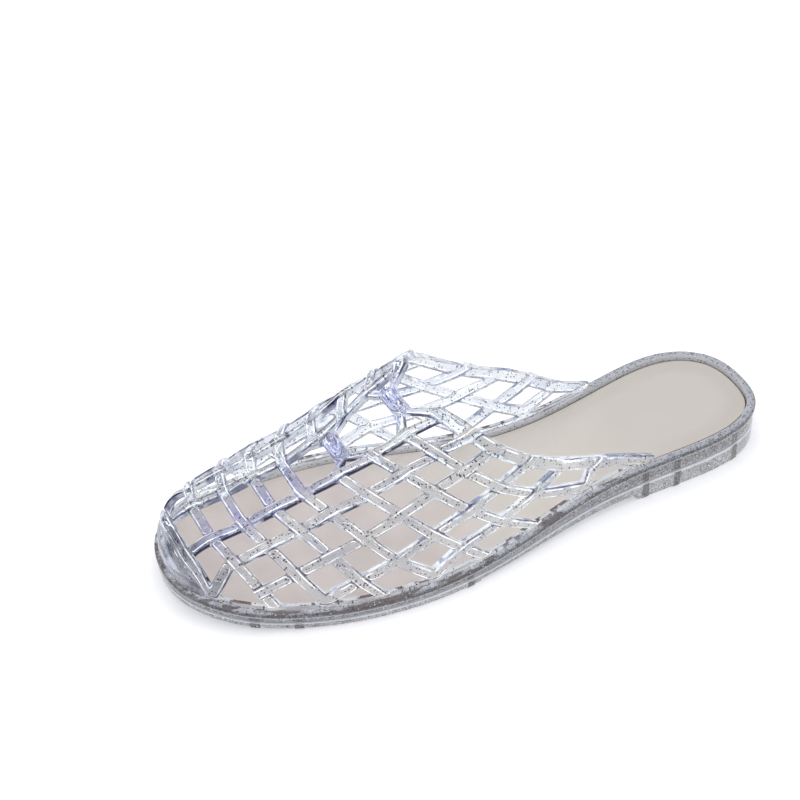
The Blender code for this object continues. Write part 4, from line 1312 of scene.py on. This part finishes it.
def addStudio():
    bpy.ops.object.select_all(action="DESELECT")
    bpy.ops.mesh.primitive_plane_add(size=studio["floorSize"], location=(0, 0, 0))
    floor = bpy.context.object
    floor.name = "studioFloor"
    paper = Finish(
        "floorPaper", studio["floorColour"], Roughness=0.85,
        **{"Emission Color": (1.0, 1.0, 1.0, 1.0), "Emission Strength": studio["floorGlow"]},
    )
    floor.data.materials.append(paper.material)
    addRoom()
    for name, place, aim, size, power in studio["lights"]:
        bpy.ops.object.light_add(type="AREA", location=place)
        light = bpy.context.object
        light.name = name
        light.data.shape = "RECTANGLE"
        light.data.size, light.data.size_y = size
        light.data.energy = power
        light.rotation_euler = (Vector(aim) - Vector(place)).to_track_quat("-Z", "Y").to_euler()


def addRoom():
    # a dim room with two bright rings of light, which draw the dark and light lines in clear plastic;
    # the camera itself sees the plain backdrop
    world = bpy.data.worlds.new("softRoom")
    world.use_nodes = True
    nodes, links = world.node_tree.nodes, world.node_tree.links
    ray = nodes.new("ShaderNodeTexCoord")
    split = nodes.new("ShaderNodeSeparateXYZ")
    ramp = nodes.new("ShaderNodeValToRGB")
    links.new(ray.outputs["Generated"], split.inputs[0])
    links.new(split.outputs["Z"], ramp.inputs["Fac"])
    while len(ramp.color_ramp.elements) < len(studio["room"]):
        ramp.color_ramp.elements.new(1.0)
    for element, (place, colour) in zip(ramp.color_ramp.elements, studio["room"]):
        element.position = place
        element.color = (*colour, 1.0)
    paths = nodes.new("ShaderNodeLightPath")
    shown = nodes.new("ShaderNodeMix")
    shown.data_type = "RGBA"
    links.new(paths.outputs["Is Camera Ray"], shown.inputs[0])
    links.new(ramp.outputs["Color"], shown.inputs[6])
    shown.inputs[7].default_value = (*studio["backdrop"], 1.0)
    links.new(shown.outputs[2], nodes["Background"].inputs["Color"])
    bpy.context.scene.world = world


def addCamera():
    turn, rise, roll = (math.radians(viewpoint[key]) for key in ("azimuth", "elevation", "roll"))
    back = Vector((math.cos(turn) * math.cos(rise), math.sin(turn) * math.cos(rise), math.sin(rise)))
    right = (-back).cross(Vector((0, 0, 1))).normalized()
    up = right.cross(-back)
    rolledRight = right * math.cos(roll) + up * math.sin(roll)
    rolledUp = up * math.cos(roll) - right * math.sin(roll)
    bpy.ops.object.camera_add(location=viewpoint["location"])
    camera = bpy.context.object
    camera.data.lens = viewpoint["lens"]
    camera.rotation_euler = Matrix((rolledRight, rolledUp, back)).transposed().to_euler()
    bpy.context.scene.camera = camera


addStudio()
addCamera()
bpy.context.scene.view_settings.view_transform = "Standard"
buildTread()
buildTray()
buildInsole()
buildUpper()
